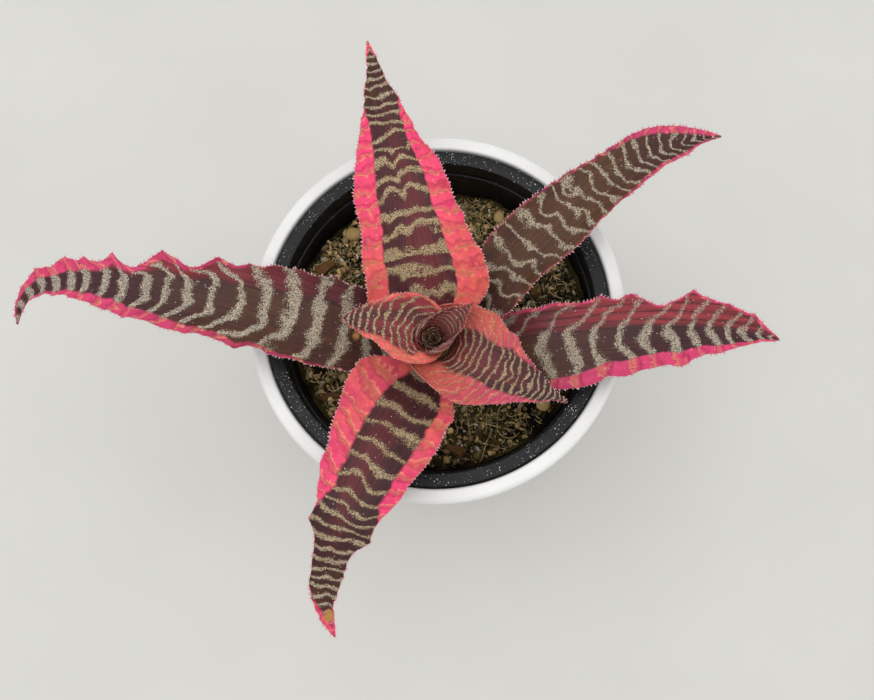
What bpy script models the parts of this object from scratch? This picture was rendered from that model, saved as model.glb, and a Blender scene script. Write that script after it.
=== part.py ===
"""Potted bromeliad: an earth-star plant in a thin plastic growing pot inside a ceramic cover pot.

Every size is in metres. The origin is the middle of the cover pot's underside, +Z is up,
+X is the plant's right and -Y is its front, where one leaf droops past the pot's edge.
"""

import math

import bmesh
import bpy
import numpy as np
from mathutils import Matrix

MM = 0.001

# Fits between separate pieces
TOUCH_GAP = 0.3 * MM
POT_FIT = 0.4 * MM

# Ceramic cover pot
POT_HEIGHT = 110 * MM
POT_RIM_RADIUS = 62.5 * MM
POT_BASE_RADIUS = 48.5 * MM
POT_RIM_WIDTH = 4.8 * MM
POT_WALL = 4.0 * MM
POT_FLOOR = 5.0 * MM
LIP_HEIGHT = 4.0 * MM
LIP_STEP = 2.3 * MM
RIM_ROUND = 1.8 * MM
FOOT_ROUND = 2.0 * MM

# Plastic growing pot, which stands on the cover pot's floor
NURSERY_RIM_DROP = 0.6 * MM
NURSERY_RIM_WIDTH = 4.8 * MM
NURSERY_RIM_DEPTH = 5.0 * MM
NURSERY_WALL = 1.0 * MM
NURSERY_TAPER = 11.0 * MM
STEP_DEPTH = 8.0 * MM
STEP_WIDTH = 0.9 * MM
DRAIN_HOLES = 6
DRAIN_RADIUS = 4.0 * MM
DRAIN_INSET = 12.0 * MM
DRAIN_STEPS = 16
THROUGH_FLOOR = 4

# Potting mix and stem
MIX_DEPTH_BELOW_RIM = 20.0 * MM
STEM_PLACE = (0.0, -12.0 * MM)
STEM_RADIUS = 4.6 * MM
STEM_IN_MIX = 14.0 * MM
STEM_ABOVE_RIM = 13.0 * MM
STEM_RINGS = 7
STEM_RING_DEPTH = 0.3 * MM
STEM_SCAR_SHARE = 0.85

# Leaves
LEAF_THICKNESS = 1.1 * MM
LEAF_OFF_STEM = 0.8 * MM
LEAF_TIP_HALF_WIDTH = 0.3 * MM
LEAF_STEPS_ALONG = 26
LEAF_STEPS_ACROSS = 6
PATH_STEPS = 400

# Whorl
WHORL_THICKNESS = 0.6 * MM
WHORL_STEPS_ALONG = 6
WHORL_STEPS_AROUND = 24

ROUND_STEPS = 64
STEM_STEPS = 24

# Each leaf: base = height of its foot above the pot's rim, length along the midrib, heading / sweep /
# curl = the midrib's compass angle a + b u + c u^2 in degrees, with u from 0 at the base to 1 at the
# tip, rise and droop = its slope at the base and at the tip, bend = how late the slope changes,
# fold = (place, angle, spread) of a sharper drop, cup = half angle of the section's arc at the base and
# at the tip, neck = (length, share of the width at the stem), left and right = half widths at even
# stations from the base, without the tip.
LEAVES = {
    "leaf_left": dict(
        base=-6.0, length=151, heading=173, sweep=-40, curl=62,
        rise=33, droop=-36, bend=1.2, cup=(40, 14), neck=(26, 0.35),
        left=(14.0, 14.5, 15.0, 14.5, 10.5, 3.5), right=(15.5, 15.5, 14.0, 10.0, 7.0, 7.5),
    ),
    "leaf_back_right": dict(
        base=-4.0, length=114, heading=44, sweep=18, curl=-54,
        rise=32, droop=-10, bend=1.0, cup=(36, 14), neck=(24, 0.4),
        left=(9.5, 9.5, 11.5, 10.5, 8.0, 8.0), right=(9.0, 10.0, 10.0, 11.0, 8.5, 5.0),
    ),
    "leaf_right": dict(
        base=-9.0, length=111, heading=2, sweep=16, curl=-32,
        rise=36, droop=-24, bend=1.0, cup=(16, 14), neck=(30, 0.3),
        left=(10.0, 10.5, 10.0, 10.5, 8.5, 9.0), right=(7.0, 8.0, 17.5, 15.5, 12.5, 6.5),
    ),
    "leaf_back": dict(
        base=0.0, length=103, heading=92, sweep=40, curl=-28,
        rise=34, droop=-14, bend=1.0, cup=(48, 18), neck=(16, 0.3),
        left=(20.0, 22.0, 20.5, 18.0, 11.0, 4.5), right=(20.0, 21.0, 15.5, 12.0, 6.5, 2.5),
    ),
    "leaf_front": dict(
        base=-1.0, length=105, heading=240, sweep=-12, curl=54,
        rise=32, droop=-18, bend=1.0, fold=(0.66, -26, 0.2), cup=(44, 16), neck=(18, 0.3),
        left=(18.0, 19.0, 19.0, 15.5, 8.0, 3.0), right=(19.0, 19.0, 15.0, 10.0, 5.5, 5.0),
    ),
    "leaf_inner_left": dict(
        base=8.0, length=27, heading=168, sweep=-4, curl=8,
        rise=44, droop=2, bend=1.0, cup=(50, 30), neck=(6, 0.5),
        left=(11.0, 11.0, 8.0, 6.0, 5.5, 3.0), right=(15.0, 15.5, 12.5, 9.5, 7.0, 3.5),
    ),
    "leaf_inner_front": dict(
        base=8.0, length=44, heading=331, sweep=0, curl=8,
        rise=40, droop=-10, bend=1.0, cup=(50, 24), neck=(7, 0.45),
        left=(18.0, 18.0, 14.5, 10.5, 6.0, 2.5), right=(19.0, 19.0, 16.0, 11.5, 6.0, 3.0),
    ),
    "leaf_heart": dict(
        base=11.5, length=13.5, heading=38, sweep=0, curl=0,
        rise=50, droop=26, bend=1.0, cup=(44, 20), neck=(3, 0.6),
        left=(5.5, 6.0, 5.0, 3.8, 2.4, 1.2), right=(5.5, 6.0, 5.2, 4.0, 2.6, 1.2),
    ),
}

# Young leaves rolled into a spiral cup: middle angle, radius at the foot and at the lip, height.
WHORL = {
    "whorl_leaf_outer": dict(angle=215, foot=4.0, lip=5.8, height=7.5),
    "whorl_leaf_middle": dict(angle=350, foot=2.6, lip=4.0, height=8.0),
    "whorl_leaf_inner": dict(angle=130, foot=1.3, lip=2.1, height=8.5),
}
WHORL_WRAP = 155
WHORL_SPIRAL = 0.05
WHORL_MARGIN_DROP = 0.45

# Loose pieces on the mix: kind, compass angle, distance in from the mix's edge, size, turn about Z
LOOSE = {
    "pebble_back_left": ("pebble", 133, 5.8, (6.4, 5.2, 3.8), 20),
    "pebble_back_right": ("pebble", 61, 6.0, (4.6, 3.6, 2.8), 70),
    "pebble_front_right": ("pebble", -39, 4.5, (5.4, 4.4, 3.2), 140),
    "bark_chip_left": ("chip", 153, 6.2, (9.0, 4.5, 2.2), 35),
    "bark_chip_front": ("chip", -83, 6.7, (8.0, 4.0, 2.0), 160),
    "bark_chip_front_left": ("chip", -145, 6.2, (10.0, 3.4, 1.8), 8),
    "bark_chip_right": ("chip", 20, 15.0, (7.0, 4.0, 2.2), 110),
}

# Pebbles: depth of the broad and the fine hollows. Chips: how much thinner one end is, how much each
# differs, and the share of its thickness taken off its edges.
PEBBLE_HOLLOWS = (0.10, 0.06)
CHIP_TAPER = 0.35
CHIP_VARIETY = 0.1
CHIP_EDGE_SHARE = 0.25

COLOURS = {
    "ceramic": ((0.72, 0.72, 0.70), 0.35),
    "plastic": ((0.018, 0.018, 0.020), 0.45),
    "mix": ((0.045, 0.032, 0.020), 0.95),
    "stem": ((0.16, 0.10, 0.05), 0.7),
    "leaf": ((0.36, 0.06, 0.08), 0.5),
    "whorl": ((0.28, 0.09, 0.07), 0.5),
    "pebble": ((0.42, 0.36, 0.27), 0.8),
    "chip": ((0.24, 0.14, 0.07), 0.85),
}


def clear_scene():
    for obj in list(bpy.data.objects):
        bpy.data.objects.remove(obj, do_unlink=True)


def new_collection(name):
    collection = bpy.data.collections.new(name)
    bpy.context.scene.collection.children.link(collection)
    return collection


def material(name, finish):
    colour, roughness = COLOURS[finish]
    made = bpy.data.materials.new(name)
    made.use_nodes = True
    shader = made.node_tree.nodes["Principled BSDF"]
    shader.inputs["Base Color"].default_value = (*colour, 1.0)
    shader.inputs["Roughness"].default_value = roughness
    made.diffuse_color = (*colour, 1.0)
    return made


def add_object(name, mesh, finish, collection, smooth_angle=40):
    obj = bpy.data.objects.new(name, mesh)
    mesh.materials.append(material(name, finish))
    mesh.shade_smooth()
    mesh.set_sharp_from_angle(angle=math.radians(smooth_angle))
    collection.objects.link(obj)
    return obj


def turned(name, profile, finish, collection, steps=ROUND_STEPS):
    """A profile of (radius, height) points from the axis round the outside and back to it, turned about Z."""
    mesh = bpy.data.meshes.new(name)
    edges = [(i, i + 1) for i in range(len(profile) - 1)]
    mesh.from_pydata([(radius, 0.0, height) for radius, height in profile], edges, [])
    obj = add_object(name, mesh, finish, collection)
    screw = obj.modifiers.new("turn", "SCREW")
    screw.axis = "Z"
    screw.steps = steps
    screw.render_steps = steps
    screw.use_merge_vertices = True
    screw.merge_threshold = 0.00001
    screw.use_smooth_shade = True
    return obj


def arc(centre, radius, start, end, steps):
    """Points on a circle from one angle in degrees to another, with both ends."""
    angles = [math.radians(start + (end - start) * i / steps) for i in range(steps + 1)]
    return [(centre[0] + radius * math.cos(a), centre[1] + radius * math.sin(a)) for a in angles]


def cover_bore_radius(height):
    """The cover pot's inner radius, straight from its floor to its rim."""
    outer_slope = (POT_RIM_RADIUS - LIP_STEP - POT_BASE_RADIUS) / POT_HEIGHT
    at_floor = POT_BASE_RADIUS + POT_FLOOR * outer_slope - POT_WALL
    at_rim = POT_RIM_RADIUS - POT_RIM_WIDTH
    return at_floor + (at_rim - at_floor) * (height - POT_FLOOR) / (POT_HEIGHT - POT_FLOOR)


def outer_pot(collection):
    body_top = POT_RIM_RADIUS - LIP_STEP
    lip_foot = POT_HEIGHT - LIP_HEIGHT
    half_round = RIM_ROUND / 2
    profile = [(0.0, POT_FLOOR), (cover_bore_radius(POT_FLOOR), POT_FLOOR)]
    bore = cover_bore_radius(POT_HEIGHT)
    profile += arc((bore + half_round, POT_HEIGHT - half_round), half_round, 180, 90, 2)
    profile += arc((POT_RIM_RADIUS - RIM_ROUND, POT_HEIGHT - RIM_ROUND), RIM_ROUND, 90, 0, 4)
    profile += arc((POT_RIM_RADIUS - half_round, lip_foot + half_round), half_round, 0, -90, 2)
    profile += [(body_top, lip_foot - half_round)]
    profile += arc((POT_BASE_RADIUS - FOOT_ROUND, FOOT_ROUND), FOOT_ROUND, 0, -90, 3)
    profile += [(0.0, 0.0)]
    return turned("outer_pot", profile, "ceramic", collection)


def nursery_top():
    return POT_HEIGHT - NURSERY_RIM_DROP


def nursery_floor():
    return POT_FLOOR + TOUCH_GAP


def nursery_rim_radius():
    return POT_RIM_RADIUS - POT_RIM_WIDTH - POT_FIT


def nursery_inner_radius(height):
    """The growing pot's inner radius below its step, straight down to its floor."""
    at_step = nursery_rim_radius() - NURSERY_RIM_WIDTH - STEP_WIDTH
    step = nursery_top() - STEP_DEPTH
    return at_step - NURSERY_TAPER * (step - height) / (step - nursery_floor())


def nursery_pot(collection, cutters):
    top = nursery_top()
    rim = nursery_rim_radius()
    throat = rim - NURSERY_RIM_WIDTH
    skirt = cover_bore_radius(top - NURSERY_RIM_DEPTH) - POT_FIT
    step = top - STEP_DEPTH
    floor = nursery_floor()
    inner_floor = floor + NURSERY_WALL
    edge = NURSERY_WALL / 2
    profile = [
        (0.0, inner_floor),
        (nursery_inner_radius(inner_floor), inner_floor),
        (nursery_inner_radius(step - STEP_WIDTH), step - STEP_WIDTH),
        (throat, step),
    ]
    profile += arc((throat + edge, top - edge), edge, 180, 90, 2)
    profile += arc((rim - edge, top - edge), edge, 90, 0, 2)
    profile += [
        (skirt, top - NURSERY_RIM_DEPTH),
        (skirt - NURSERY_WALL, top - NURSERY_RIM_DEPTH),
        (rim - NURSERY_WALL, top - NURSERY_WALL),
        (throat + NURSERY_WALL, top - NURSERY_WALL),
        (throat + NURSERY_WALL, step - STEP_WIDTH / 2),
        (nursery_inner_radius(step - 2 * STEP_WIDTH) + NURSERY_WALL, step - 2 * STEP_WIDTH),
        (nursery_inner_radius(floor) + NURSERY_WALL, floor),
        (0.0, floor),
    ]
    pot = turned("nursery_pot", profile, "plastic", collection)
    ring = nursery_inner_radius(floor) - DRAIN_INSET
    for index in range(DRAIN_HOLES):
        angle = 2 * math.pi * index / DRAIN_HOLES
        place = (ring * math.cos(angle), ring * math.sin(angle), floor)
        depth = THROUGH_FLOOR * NURSERY_WALL
        cut_cylinder(pot, f"drain_cutter_{index}", DRAIN_RADIUS, depth, place, cutters, DRAIN_STEPS)
    return pot


def cut_cylinder(target, name, radius, depth, place, cutters, sides):
    mesh = bpy.data.meshes.new(name)
    form = bmesh.new()
    bmesh.ops.create_cone(
        form, cap_ends=True, segments=sides, radius1=radius, radius2=radius, depth=depth,
        matrix=Matrix.Translation(place),
    )
    form.to_mesh(mesh)
    form.free()
    cutter = bpy.data.objects.new(name, mesh)
    cutter.hide_render = True
    cutter.display_type = "WIRE"
    cutters.objects.link(cutter)
    cut = target.modifiers.new(name, "BOOLEAN")
    cut.operation = "DIFFERENCE"
    cut.solver = "EXACT"
    cut.object = cutter


def mix_top():
    return POT_HEIGHT - MIX_DEPTH_BELOW_RIM


def mix_edge_radius():
    return nursery_inner_radius(mix_top()) - TOUCH_GAP


def potting_mix(collection, cutters):
    bottom = nursery_floor() + NURSERY_WALL + TOUCH_GAP
    top = mix_top()
    profile = [
        (0.0, top),
        (mix_edge_radius(), top),
        (nursery_inner_radius(bottom) - TOUCH_GAP, bottom),
        (0.0, bottom),
    ]
    mix = turned("potting_mix", profile, "mix", collection)
    socket_depth = 2 * (STEM_IN_MIX + TOUCH_GAP)
    socket_radius = STEM_RADIUS + TOUCH_GAP
    place = (*STEM_PLACE, top)
    cut_cylinder(mix, "stem_socket_cutter", socket_radius, socket_depth, place, cutters, STEM_STEPS)
    return mix


def stem_top():
    return POT_HEIGHT + STEM_ABOVE_RIM


def stem(collection):
    """A short stalk with a shallow groove between each pair of leaf scars."""
    foot = mix_top() - STEM_IN_MIX
    scar = (stem_top() - foot) / STEM_RINGS
    profile = [(0.0, stem_top())]
    for ring in range(STEM_RINGS):
        height = stem_top() - ring * scar
        profile.append((STEM_RADIUS, height))
        profile.append((STEM_RADIUS - STEM_RING_DEPTH, height - STEM_SCAR_SHARE * scar))
    profile += [(STEM_RADIUS - STEM_RING_DEPTH, foot), (0.0, foot)]
    stalk = turned("stem", profile, "stem", collection, STEM_STEPS)
    stalk.location = (*STEM_PLACE, 0.0)
    return stalk


def smooth_step(x):
    x = np.clip(x, 0.0, 1.0)
    return x * x * (3 - 2 * x)


def through_stations(values, u):
    """A smooth curve through evenly spaced values (Catmull-Rom), read at u from 0 to 1."""
    values = np.array(values, dtype=float)
    spans = len(values) - 1
    place = np.clip(u, 0.0, 1.0) * spans
    index = np.minimum(place.astype(int), spans - 1)
    part = place - index
    padded = np.concatenate([[2 * values[0] - values[1]], values, [2 * values[-1] - values[-2]]])
    a, b, c, d = (padded[index + k] for k in range(4))
    return b + 0.5 * part * (c - a + part * (2 * a - 5 * b + 4 * c - d + part * (3 * (b - c) + d - a)))


def midrib(leaf, u):
    """The midrib's points and its side and up directions, from its slope and compass angle summed up."""
    fine = np.linspace(0.0, 1.0, PATH_STEPS + 1)
    compass = np.radians(leaf["heading"] + leaf["sweep"] * fine + leaf["curl"] * fine**2)
    slope = leaf["rise"] + (leaf["droop"] - leaf["rise"]) * fine ** leaf["bend"]
    if "fold" in leaf:
        place, angle, spread = leaf["fold"]
        slope = slope + angle * smooth_step((fine - place) / spread + 0.5)
    slope = np.radians(slope)
    ahead = np.stack([np.cos(slope) * np.cos(compass), np.cos(slope) * np.sin(compass), np.sin(slope)], 1)
    steps = (ahead[1:] + ahead[:-1]) / 2 * leaf["length"] * MM / PATH_STEPS
    out = STEM_RADIUS + LEAF_OFF_STEM
    bearing = math.radians(leaf["heading"])
    start = np.array([
        STEM_PLACE[0] + out * math.cos(bearing),
        STEM_PLACE[1] + out * math.sin(bearing),
        POT_HEIGHT + leaf["base"] * MM,
    ])
    path = start + np.concatenate([np.zeros((1, 3)), np.cumsum(steps, axis=0)])
    points = np.stack([np.interp(u, fine, path[:, k]) for k in range(3)], 1)
    ahead = np.stack([np.interp(u, fine, ahead[:, k]) for k in range(3)], 1)
    turn = np.interp(u, fine, compass)
    side = np.stack([-np.sin(turn), np.cos(turn), np.zeros_like(turn)], 1)
    return points, side, np.cross(ahead, side)


def blade_surface(leaf, u, v):
    """The leaf's upper face: at each u along the midrib an arc across it, v from -1 (right) to 1 (left)."""
    points, side, up = midrib(leaf, u)
    length, share = leaf["neck"]
    narrowing = share + (1 - share) * smooth_step(u * leaf["length"] / length)
    tip = LEAF_TIP_HALF_WIDTH / MM
    left = through_stations((*leaf["left"], tip), u) * narrowing * MM
    right = through_stations((*leaf["right"], tip), u) * narrowing * MM
    width = np.where(v[None, :] > 0, left[:, None], right[:, None]) * np.abs(v)[None, :]
    cup = np.radians(leaf["cup"][0] + (leaf["cup"][1] - leaf["cup"][0]) * u)
    half_arc = cup[:, None] * np.abs(v)[None, :] / 2
    chord = width * np.sinc(half_arc / np.pi)
    across = chord * np.cos(half_arc) * np.sign(v)[None, :]
    lift = chord * np.sin(half_arc)
    return points[:, None, :] + side[:, None, :] * across[..., None] + up[:, None, :] * lift[..., None]


def sheet_mesh(name, surface):
    """A grid primitive laid on a (rows, columns, 3) array of points."""
    rows, columns = surface.shape[:2]
    form = bmesh.new()
    bmesh.ops.create_grid(form, x_segments=columns - 1, y_segments=rows - 1, size=1.0)
    form.verts.ensure_lookup_table()
    for vertex, place in zip(form.verts, surface.reshape(-1, 3)):
        vertex.co = place
    mesh = bpy.data.meshes.new(name)
    form.to_mesh(mesh)
    form.free()
    return mesh


def thicken(obj, thickness):
    solid = obj.modifiers.new("thickness", "SOLIDIFY")
    solid.thickness = thickness
    solid.offset = -1.0
    solid.use_rim = True
    return obj


def leaf(name, collection):
    u = np.linspace(0.0, 1.0, LEAF_STEPS_ALONG + 1)
    v = np.linspace(1.0, -1.0, LEAF_STEPS_ACROSS + 1)
    mesh = sheet_mesh(name, blade_surface(LEAVES[name], u, v))
    return thicken(add_object(name, mesh, "leaf", collection), LEAF_THICKNESS)


def whorl_leaf(name, collection):
    """A young leaf rolled round the stem's axis: a cone on a spiral, lower at its margins."""
    design = WHORL[name]
    u = np.linspace(0.0, 1.0, WHORL_STEPS_ALONG + 1)[:, None]
    v = np.linspace(-1.0, 1.0, WHORL_STEPS_AROUND + 1)[None, :]
    angle = np.radians(design["angle"] + WHORL_WRAP * v)
    radius = (design["foot"] + (design["lip"] - design["foot"]) * u) * (1 + WHORL_SPIRAL * v) * MM
    height = design["height"] * MM * u * (1 - WHORL_MARGIN_DROP * v**2)
    surface = np.stack([
        STEM_PLACE[0] + radius * np.cos(angle),
        STEM_PLACE[1] + radius * np.sin(angle),
        stem_top() + TOUCH_GAP + height,
    ], axis=-1)
    mesh = sheet_mesh(name, surface)
    return thicken(add_object(name, mesh, "whorl", collection), WHORL_THICKNESS)


def pebble_form(form, size, seed):
    """A ball drawn out to the pebble's size, with broad shallow hollows."""
    bmesh.ops.create_icosphere(form, subdivisions=2, radius=0.5)
    for vertex in form.verts:
        x, y, z = vertex.co
        broad = PEBBLE_HOLLOWS[0] * math.sin(5 * x + seed) * math.cos(4 * y + 2 * seed)
        worn = 1 + broad + PEBBLE_HOLLOWS[1] * math.sin(7 * z + seed)
        vertex.co = (x * size[0] * MM * worn, y * size[1] * MM * worn, z * size[2] * MM * worn)


def chip_form(form, size, seed):
    """A flake with one end thinner than the other and its edges taken off."""
    bmesh.ops.create_cube(form, size=1.0)
    for vertex in form.verts:
        x, y, z = vertex.co
        taper = 1 - CHIP_TAPER * x + CHIP_VARIETY * math.sin(seed)
        vertex.co = (x * size[0] * MM, y * size[1] * MM * taper, z * size[2] * MM * taper)
    bmesh.ops.bevel(
        form, geom=form.edges[:], offset=CHIP_EDGE_SHARE * size[2] * MM,
        segments=1, profile=0.5, affect="EDGES",
    )


def loose_piece(name, seed, collection):
    kind, compass, inset, size, turn = LOOSE[name]
    bearing = math.radians(compass)
    out = mix_edge_radius() - inset * MM
    form = bmesh.new()
    if kind == "pebble":
        pebble_form(form, size, seed)
    else:
        chip_form(form, size, seed)
    lowest = min(vertex.co.z for vertex in form.verts)
    mesh = bpy.data.meshes.new(name)
    form.to_mesh(mesh)
    form.free()
    piece = add_object(name, mesh, kind, collection)
    piece.rotation_euler = (0.0, 0.0, math.radians(turn))
    piece.location = (out * math.cos(bearing), out * math.sin(bearing), mix_top() + TOUCH_GAP - lowest)
    return piece


def main():
    clear_scene()
    plant = new_collection("potted_bromeliad")
    cutters = new_collection("cutters")
    cutters.hide_render = True
    outer_pot(plant)
    nursery_pot(plant, cutters)
    potting_mix(plant, cutters)
    stem(plant)
    for name in LEAVES:
        leaf(name, plant)
    for name in WHORL:
        whorl_leaf(name, plant)
    for seed, name in enumerate(LOOSE):
        loose_piece(name, seed, plant)


main()
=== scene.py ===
"""Looks of a potted bromeliad: an earth-star plant in a growing pot inside a white ceramic cover pot.

Every length is in metres in the row frame, and every table below is in millimetres and degrees.
Leaves are two-faced sheets on (u, v): u runs from the stem to the tip, v across from -1 to 1.
"""

import math

import bpy
import numpy as np
from mathutils import Matrix, Vector


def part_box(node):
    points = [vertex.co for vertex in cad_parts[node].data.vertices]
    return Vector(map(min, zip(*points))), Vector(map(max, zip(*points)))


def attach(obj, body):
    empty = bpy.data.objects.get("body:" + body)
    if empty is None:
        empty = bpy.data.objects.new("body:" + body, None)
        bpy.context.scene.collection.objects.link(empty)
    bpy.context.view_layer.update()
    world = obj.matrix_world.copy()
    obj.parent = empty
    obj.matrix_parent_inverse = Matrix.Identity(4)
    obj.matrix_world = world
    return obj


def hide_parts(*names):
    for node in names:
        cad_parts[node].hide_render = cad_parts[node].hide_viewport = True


bl_info = {
    "name": "Potted bromeliad",
    "version": (1, 0, 0),
    "blender": (4, 5, 0),
    "location": "View3D > Sidebar > Bromeliad",
    "description": "Builds the leaves, potting mix and pots of an earth-star bromeliad",
    "category": "Add Mesh",
}

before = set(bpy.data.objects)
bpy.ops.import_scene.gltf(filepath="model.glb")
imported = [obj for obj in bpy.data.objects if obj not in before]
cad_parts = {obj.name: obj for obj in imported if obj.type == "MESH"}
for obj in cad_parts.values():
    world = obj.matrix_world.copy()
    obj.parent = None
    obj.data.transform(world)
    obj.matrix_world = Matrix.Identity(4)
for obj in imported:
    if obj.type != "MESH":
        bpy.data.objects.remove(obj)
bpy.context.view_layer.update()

MM = 0.001
BODY = "root"
STEM_AXIS = np.array((0.0, -12.0)) * MM
STEM_RADIUS = 4.6 * MM
LEAF_OFF_STEM = 0.8 * MM
RIM_HEIGHT = 110.0 * MM
TIP_HALF_WIDTH = 0.3
LEAST_HALF_WIDTH = 0.12
PATH_STEPS = 400
GROOVE_PITCH = 2.6
# A leaf shorter than this is a young one: it has little silver below.
YOUNG_LEAF = 50.0
HOOK_START = 0.86
MOUTH = 3.2
LOOSE_ROWS, LOOSE_COLUMNS = 15, 28
LEAST_CHIP = 1.2 * MM

# Cover pot: its radius at the base, floor, wall, width of the rim and how far the lip stands out.
POT_BASE_RADIUS = 48.5 * MM
POT_FLOOR = 5 * MM
POT_WALL = 4 * MM
POT_RIM_WIDTH = 4.8 * MM
LIP_OVERHANG = 2.3 * MM
LIP_HEIGHT = 4.9 * MM
POT_FOOT = 2 * MM

# Growing pot: its rim, the step inside, the taper of its wall from step to floor, its skirt and wall.
GROWING_RIM_WIDTH = 4.8 * MM
STEP_DEPTH = 8 * MM
STEP_WIDTH = 0.9 * MM
GROWING_TAPER = 11 * MM
SKIRT_DEPTH = 5 * MM
GROWING_WALL = MM
# How much the growing pot widens for each millimetre of height.
WALL_TAPER = 0.1

# Mix: how much smaller its foot is than its surface, and how far its litter keeps off the wall.
MIX_TAPER = 9.2 * MM
LITTER_MARGIN = 1.2 * MM

# Each leaf's shape: base = height of its foot above the rim, length along the midrib, compass angle
# heading + sweep u + curl u^2, slope from rise to droop (bend = how late), fold = (place, angle,
# spread) of a sharper drop, hook = turn of the last seventh, cup = half angle of the section's arc
# at foot and tip, neck = (length, share of the width at the stem), left and right = half widths at
# even stations, teeth = (distance from the foot, height, half width) of each big marginal tooth.
# An inner leaf starts as a sheath round the stem's axis instead: foot = (radius, height above the
# rim), length, slope, wrap = half angle at its foot and mouth, blend = length over which it opens
# into the blade, tuck = drop of its edges. PLAIN_LEAF holds what a leaf doesn't state.
PLAIN_LEAF = dict(
    bend=1.0, fold=None, hook=0.0, neck=(0.1, 1.0), sheath=None, teeth_left=(), teeth_right=(),
)
LEAVES = {
    "leaf_left": dict(
        base=-6.0, length=153, heading=173, sweep=-40, curl=62, hook=52,
        rise=33, droop=-36, bend=1.2, cup=(40, 14), neck=(26, 0.35),
        left=(14.0, 14.5, 15.0, 14.5, 10.5, 3.5), right=(15.5, 15.5, 14.0, 10.0, 7.0, 7.5),
        teeth_right=(
            (36, 0.8, 2.5), (54.4, 1.2, 2.2), (62, 1.5, 2.4), (71.9, 2.4, 3.2), (89, 3.2, 4.2),
            (105.7, 2.7, 3.2), (115.5, 2.0, 2.6), (122.4, 1.9, 2.4), (134, 0.9, 2.0),
        ),
        teeth_left=((60, 1.0, 2.5), (97, 1.2, 3.0), (127, 0.8, 2.0)),
    ),
    "leaf_back_right": dict(
        base=-4.0, length=114, heading=44, sweep=18, curl=-54,
        rise=32, droop=-10, cup=(36, 14), neck=(24, 0.4),
        left=(9.5, 9.5, 11.5, 10.5, 8.0, 8.0), right=(9.0, 10.0, 10.0, 11.0, 8.5, 5.0),
    ),
    "leaf_right": dict(
        base=-9.0, length=111, heading=2, sweep=16, curl=-28,
        rise=36, droop=-24, cup=(16, 14), neck=(30, 0.3),
        left=(10.0, 10.5, 10.0, 10.5, 8.5, 9.0), right=(7.0, 8.0, 17.5, 15.5, 12.5, 6.5),
        teeth_left=((38, 1.3, 3.4), (52.7, 1.5, 2.6), (62, 2.3, 3.4), (80.5, 3.3, 4.4), (101, 0.9, 2.0)),
        teeth_right=((34, 1.0, 2.5), (58, 1.2, 2.5), (76, 0.9, 2.0)),
    ),
    "leaf_back": dict(
        base=0.0, length=103, heading=92, sweep=40, curl=-28,
        rise=34, droop=-14, cup=(48, 18), neck=(16, 0.3),
        left=(20.0, 22.0, 20.5, 18.0, 11.0, 4.5), right=(20.0, 21.0, 15.5, 12.0, 6.5, 2.5),
        teeth_right=((36, 1.0, 2.5),),
    ),
    "leaf_front": dict(
        base=-1.0, length=105, heading=240, sweep=-12, curl=54,
        rise=32, droop=-18, fold=(0.59, -26, 0.14), cup=(44, 16), neck=(18, 0.3),
        left=(18.0, 19.0, 19.0, 15.5, 8.0, 3.0), right=(19.0, 19.0, 15.0, 10.0, 5.5, 5.0),
        teeth_left=((64, 2.2, 3.0),), teeth_right=((48, 1.0, 2.5), (63, 1.6, 2.5)),
    ),
    "leaf_inner_left": dict(
        length=23.5, heading=168, sweep=-4, curl=8,
        rise=24, droop=-14, cup=(34, 22),
        sheath=dict(foot=(3.6, 13.6), length=5.6, slope=62, wrap=(150, 112), blend=7.5, tuck=2.2),
        left=(11.0, 10.5, 8.0, 6.0, 5.0, 2.8), right=(13.0, 13.0, 10.8, 8.2, 5.6, 2.8),
    ),
    "leaf_inner_front": dict(
        length=39, heading=331, sweep=0, curl=8,
        rise=24, droop=-16, cup=(30, 18),
        sheath=dict(foot=(5.1, 9.5), length=6.4, slope=65, wrap=(165, 138), blend=10.5, tuck=2.6),
        left=(16.8, 16.5, 13.2, 9.8, 5.6, 2.3), right=(17.0, 16.5, 14.2, 10.4, 5.8, 2.6),
        teeth_left=((17, 1.0, 2.0),),
    ),
    "leaf_heart": dict(
        length=11.0, heading=38, sweep=0, curl=0,
        rise=30, droop=-2, cup=(56, 40),
        sheath=dict(foot=(2.5, 14.3), length=6.2, slope=62, wrap=(172, 150), blend=4.6, tuck=1.2),
        left=(5.5, 5.6, 4.4, 3.0, 1.7, 0.8), right=(5.5, 5.6, 4.6, 3.2, 1.8, 0.8),
    ),
}

# Each leaf's pattern, as values at even stations from foot to tip: spacing of the scurf bands in mm,
# duty = share of a spacing that is scurf (tilt = how much wider it is to the left, taper = how much
# narrower at the margins), bow = how far the band's middle runs ahead, chevron = how far its left
# and right ends run ahead of its middle (kink = how far out they start), skew = how far its left
# end runs ahead, wobble = (height, cell) of its wander, arched = wander in lobes, strength = how
# thick the scurf is (fade_left = how much less to the left, thin = how much of it shows on the
# pink), ash = grey in the scurf, panel = share of each half width that is dark, soft = width of the
# panel's edge, magenta = the pink's hue from 0 hot pink to 1 magenta and 2 dull, warmth = coral in
# the pink, olive = green in the dark, flush = red in the dark on a half or along the midrib, spots
# = (place, side, radius) of each dry spot. PLAIN_LOOK holds what a leaf doesn't state.
PLAIN_LOOK = dict(
    tilt=0.0, taper=0.3, bow=(0, 0), chevron_left=(0, 0), chevron_right=(0, 0), kink=0.0, skew=(0, 0),
    arched=False, strength=(1, 1), fade_left=0.0, thin=0.0, flush_left=(0, 0), flush_right=(0, 0),
    flush_middle=(0, 0), spots=(),
)
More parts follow.
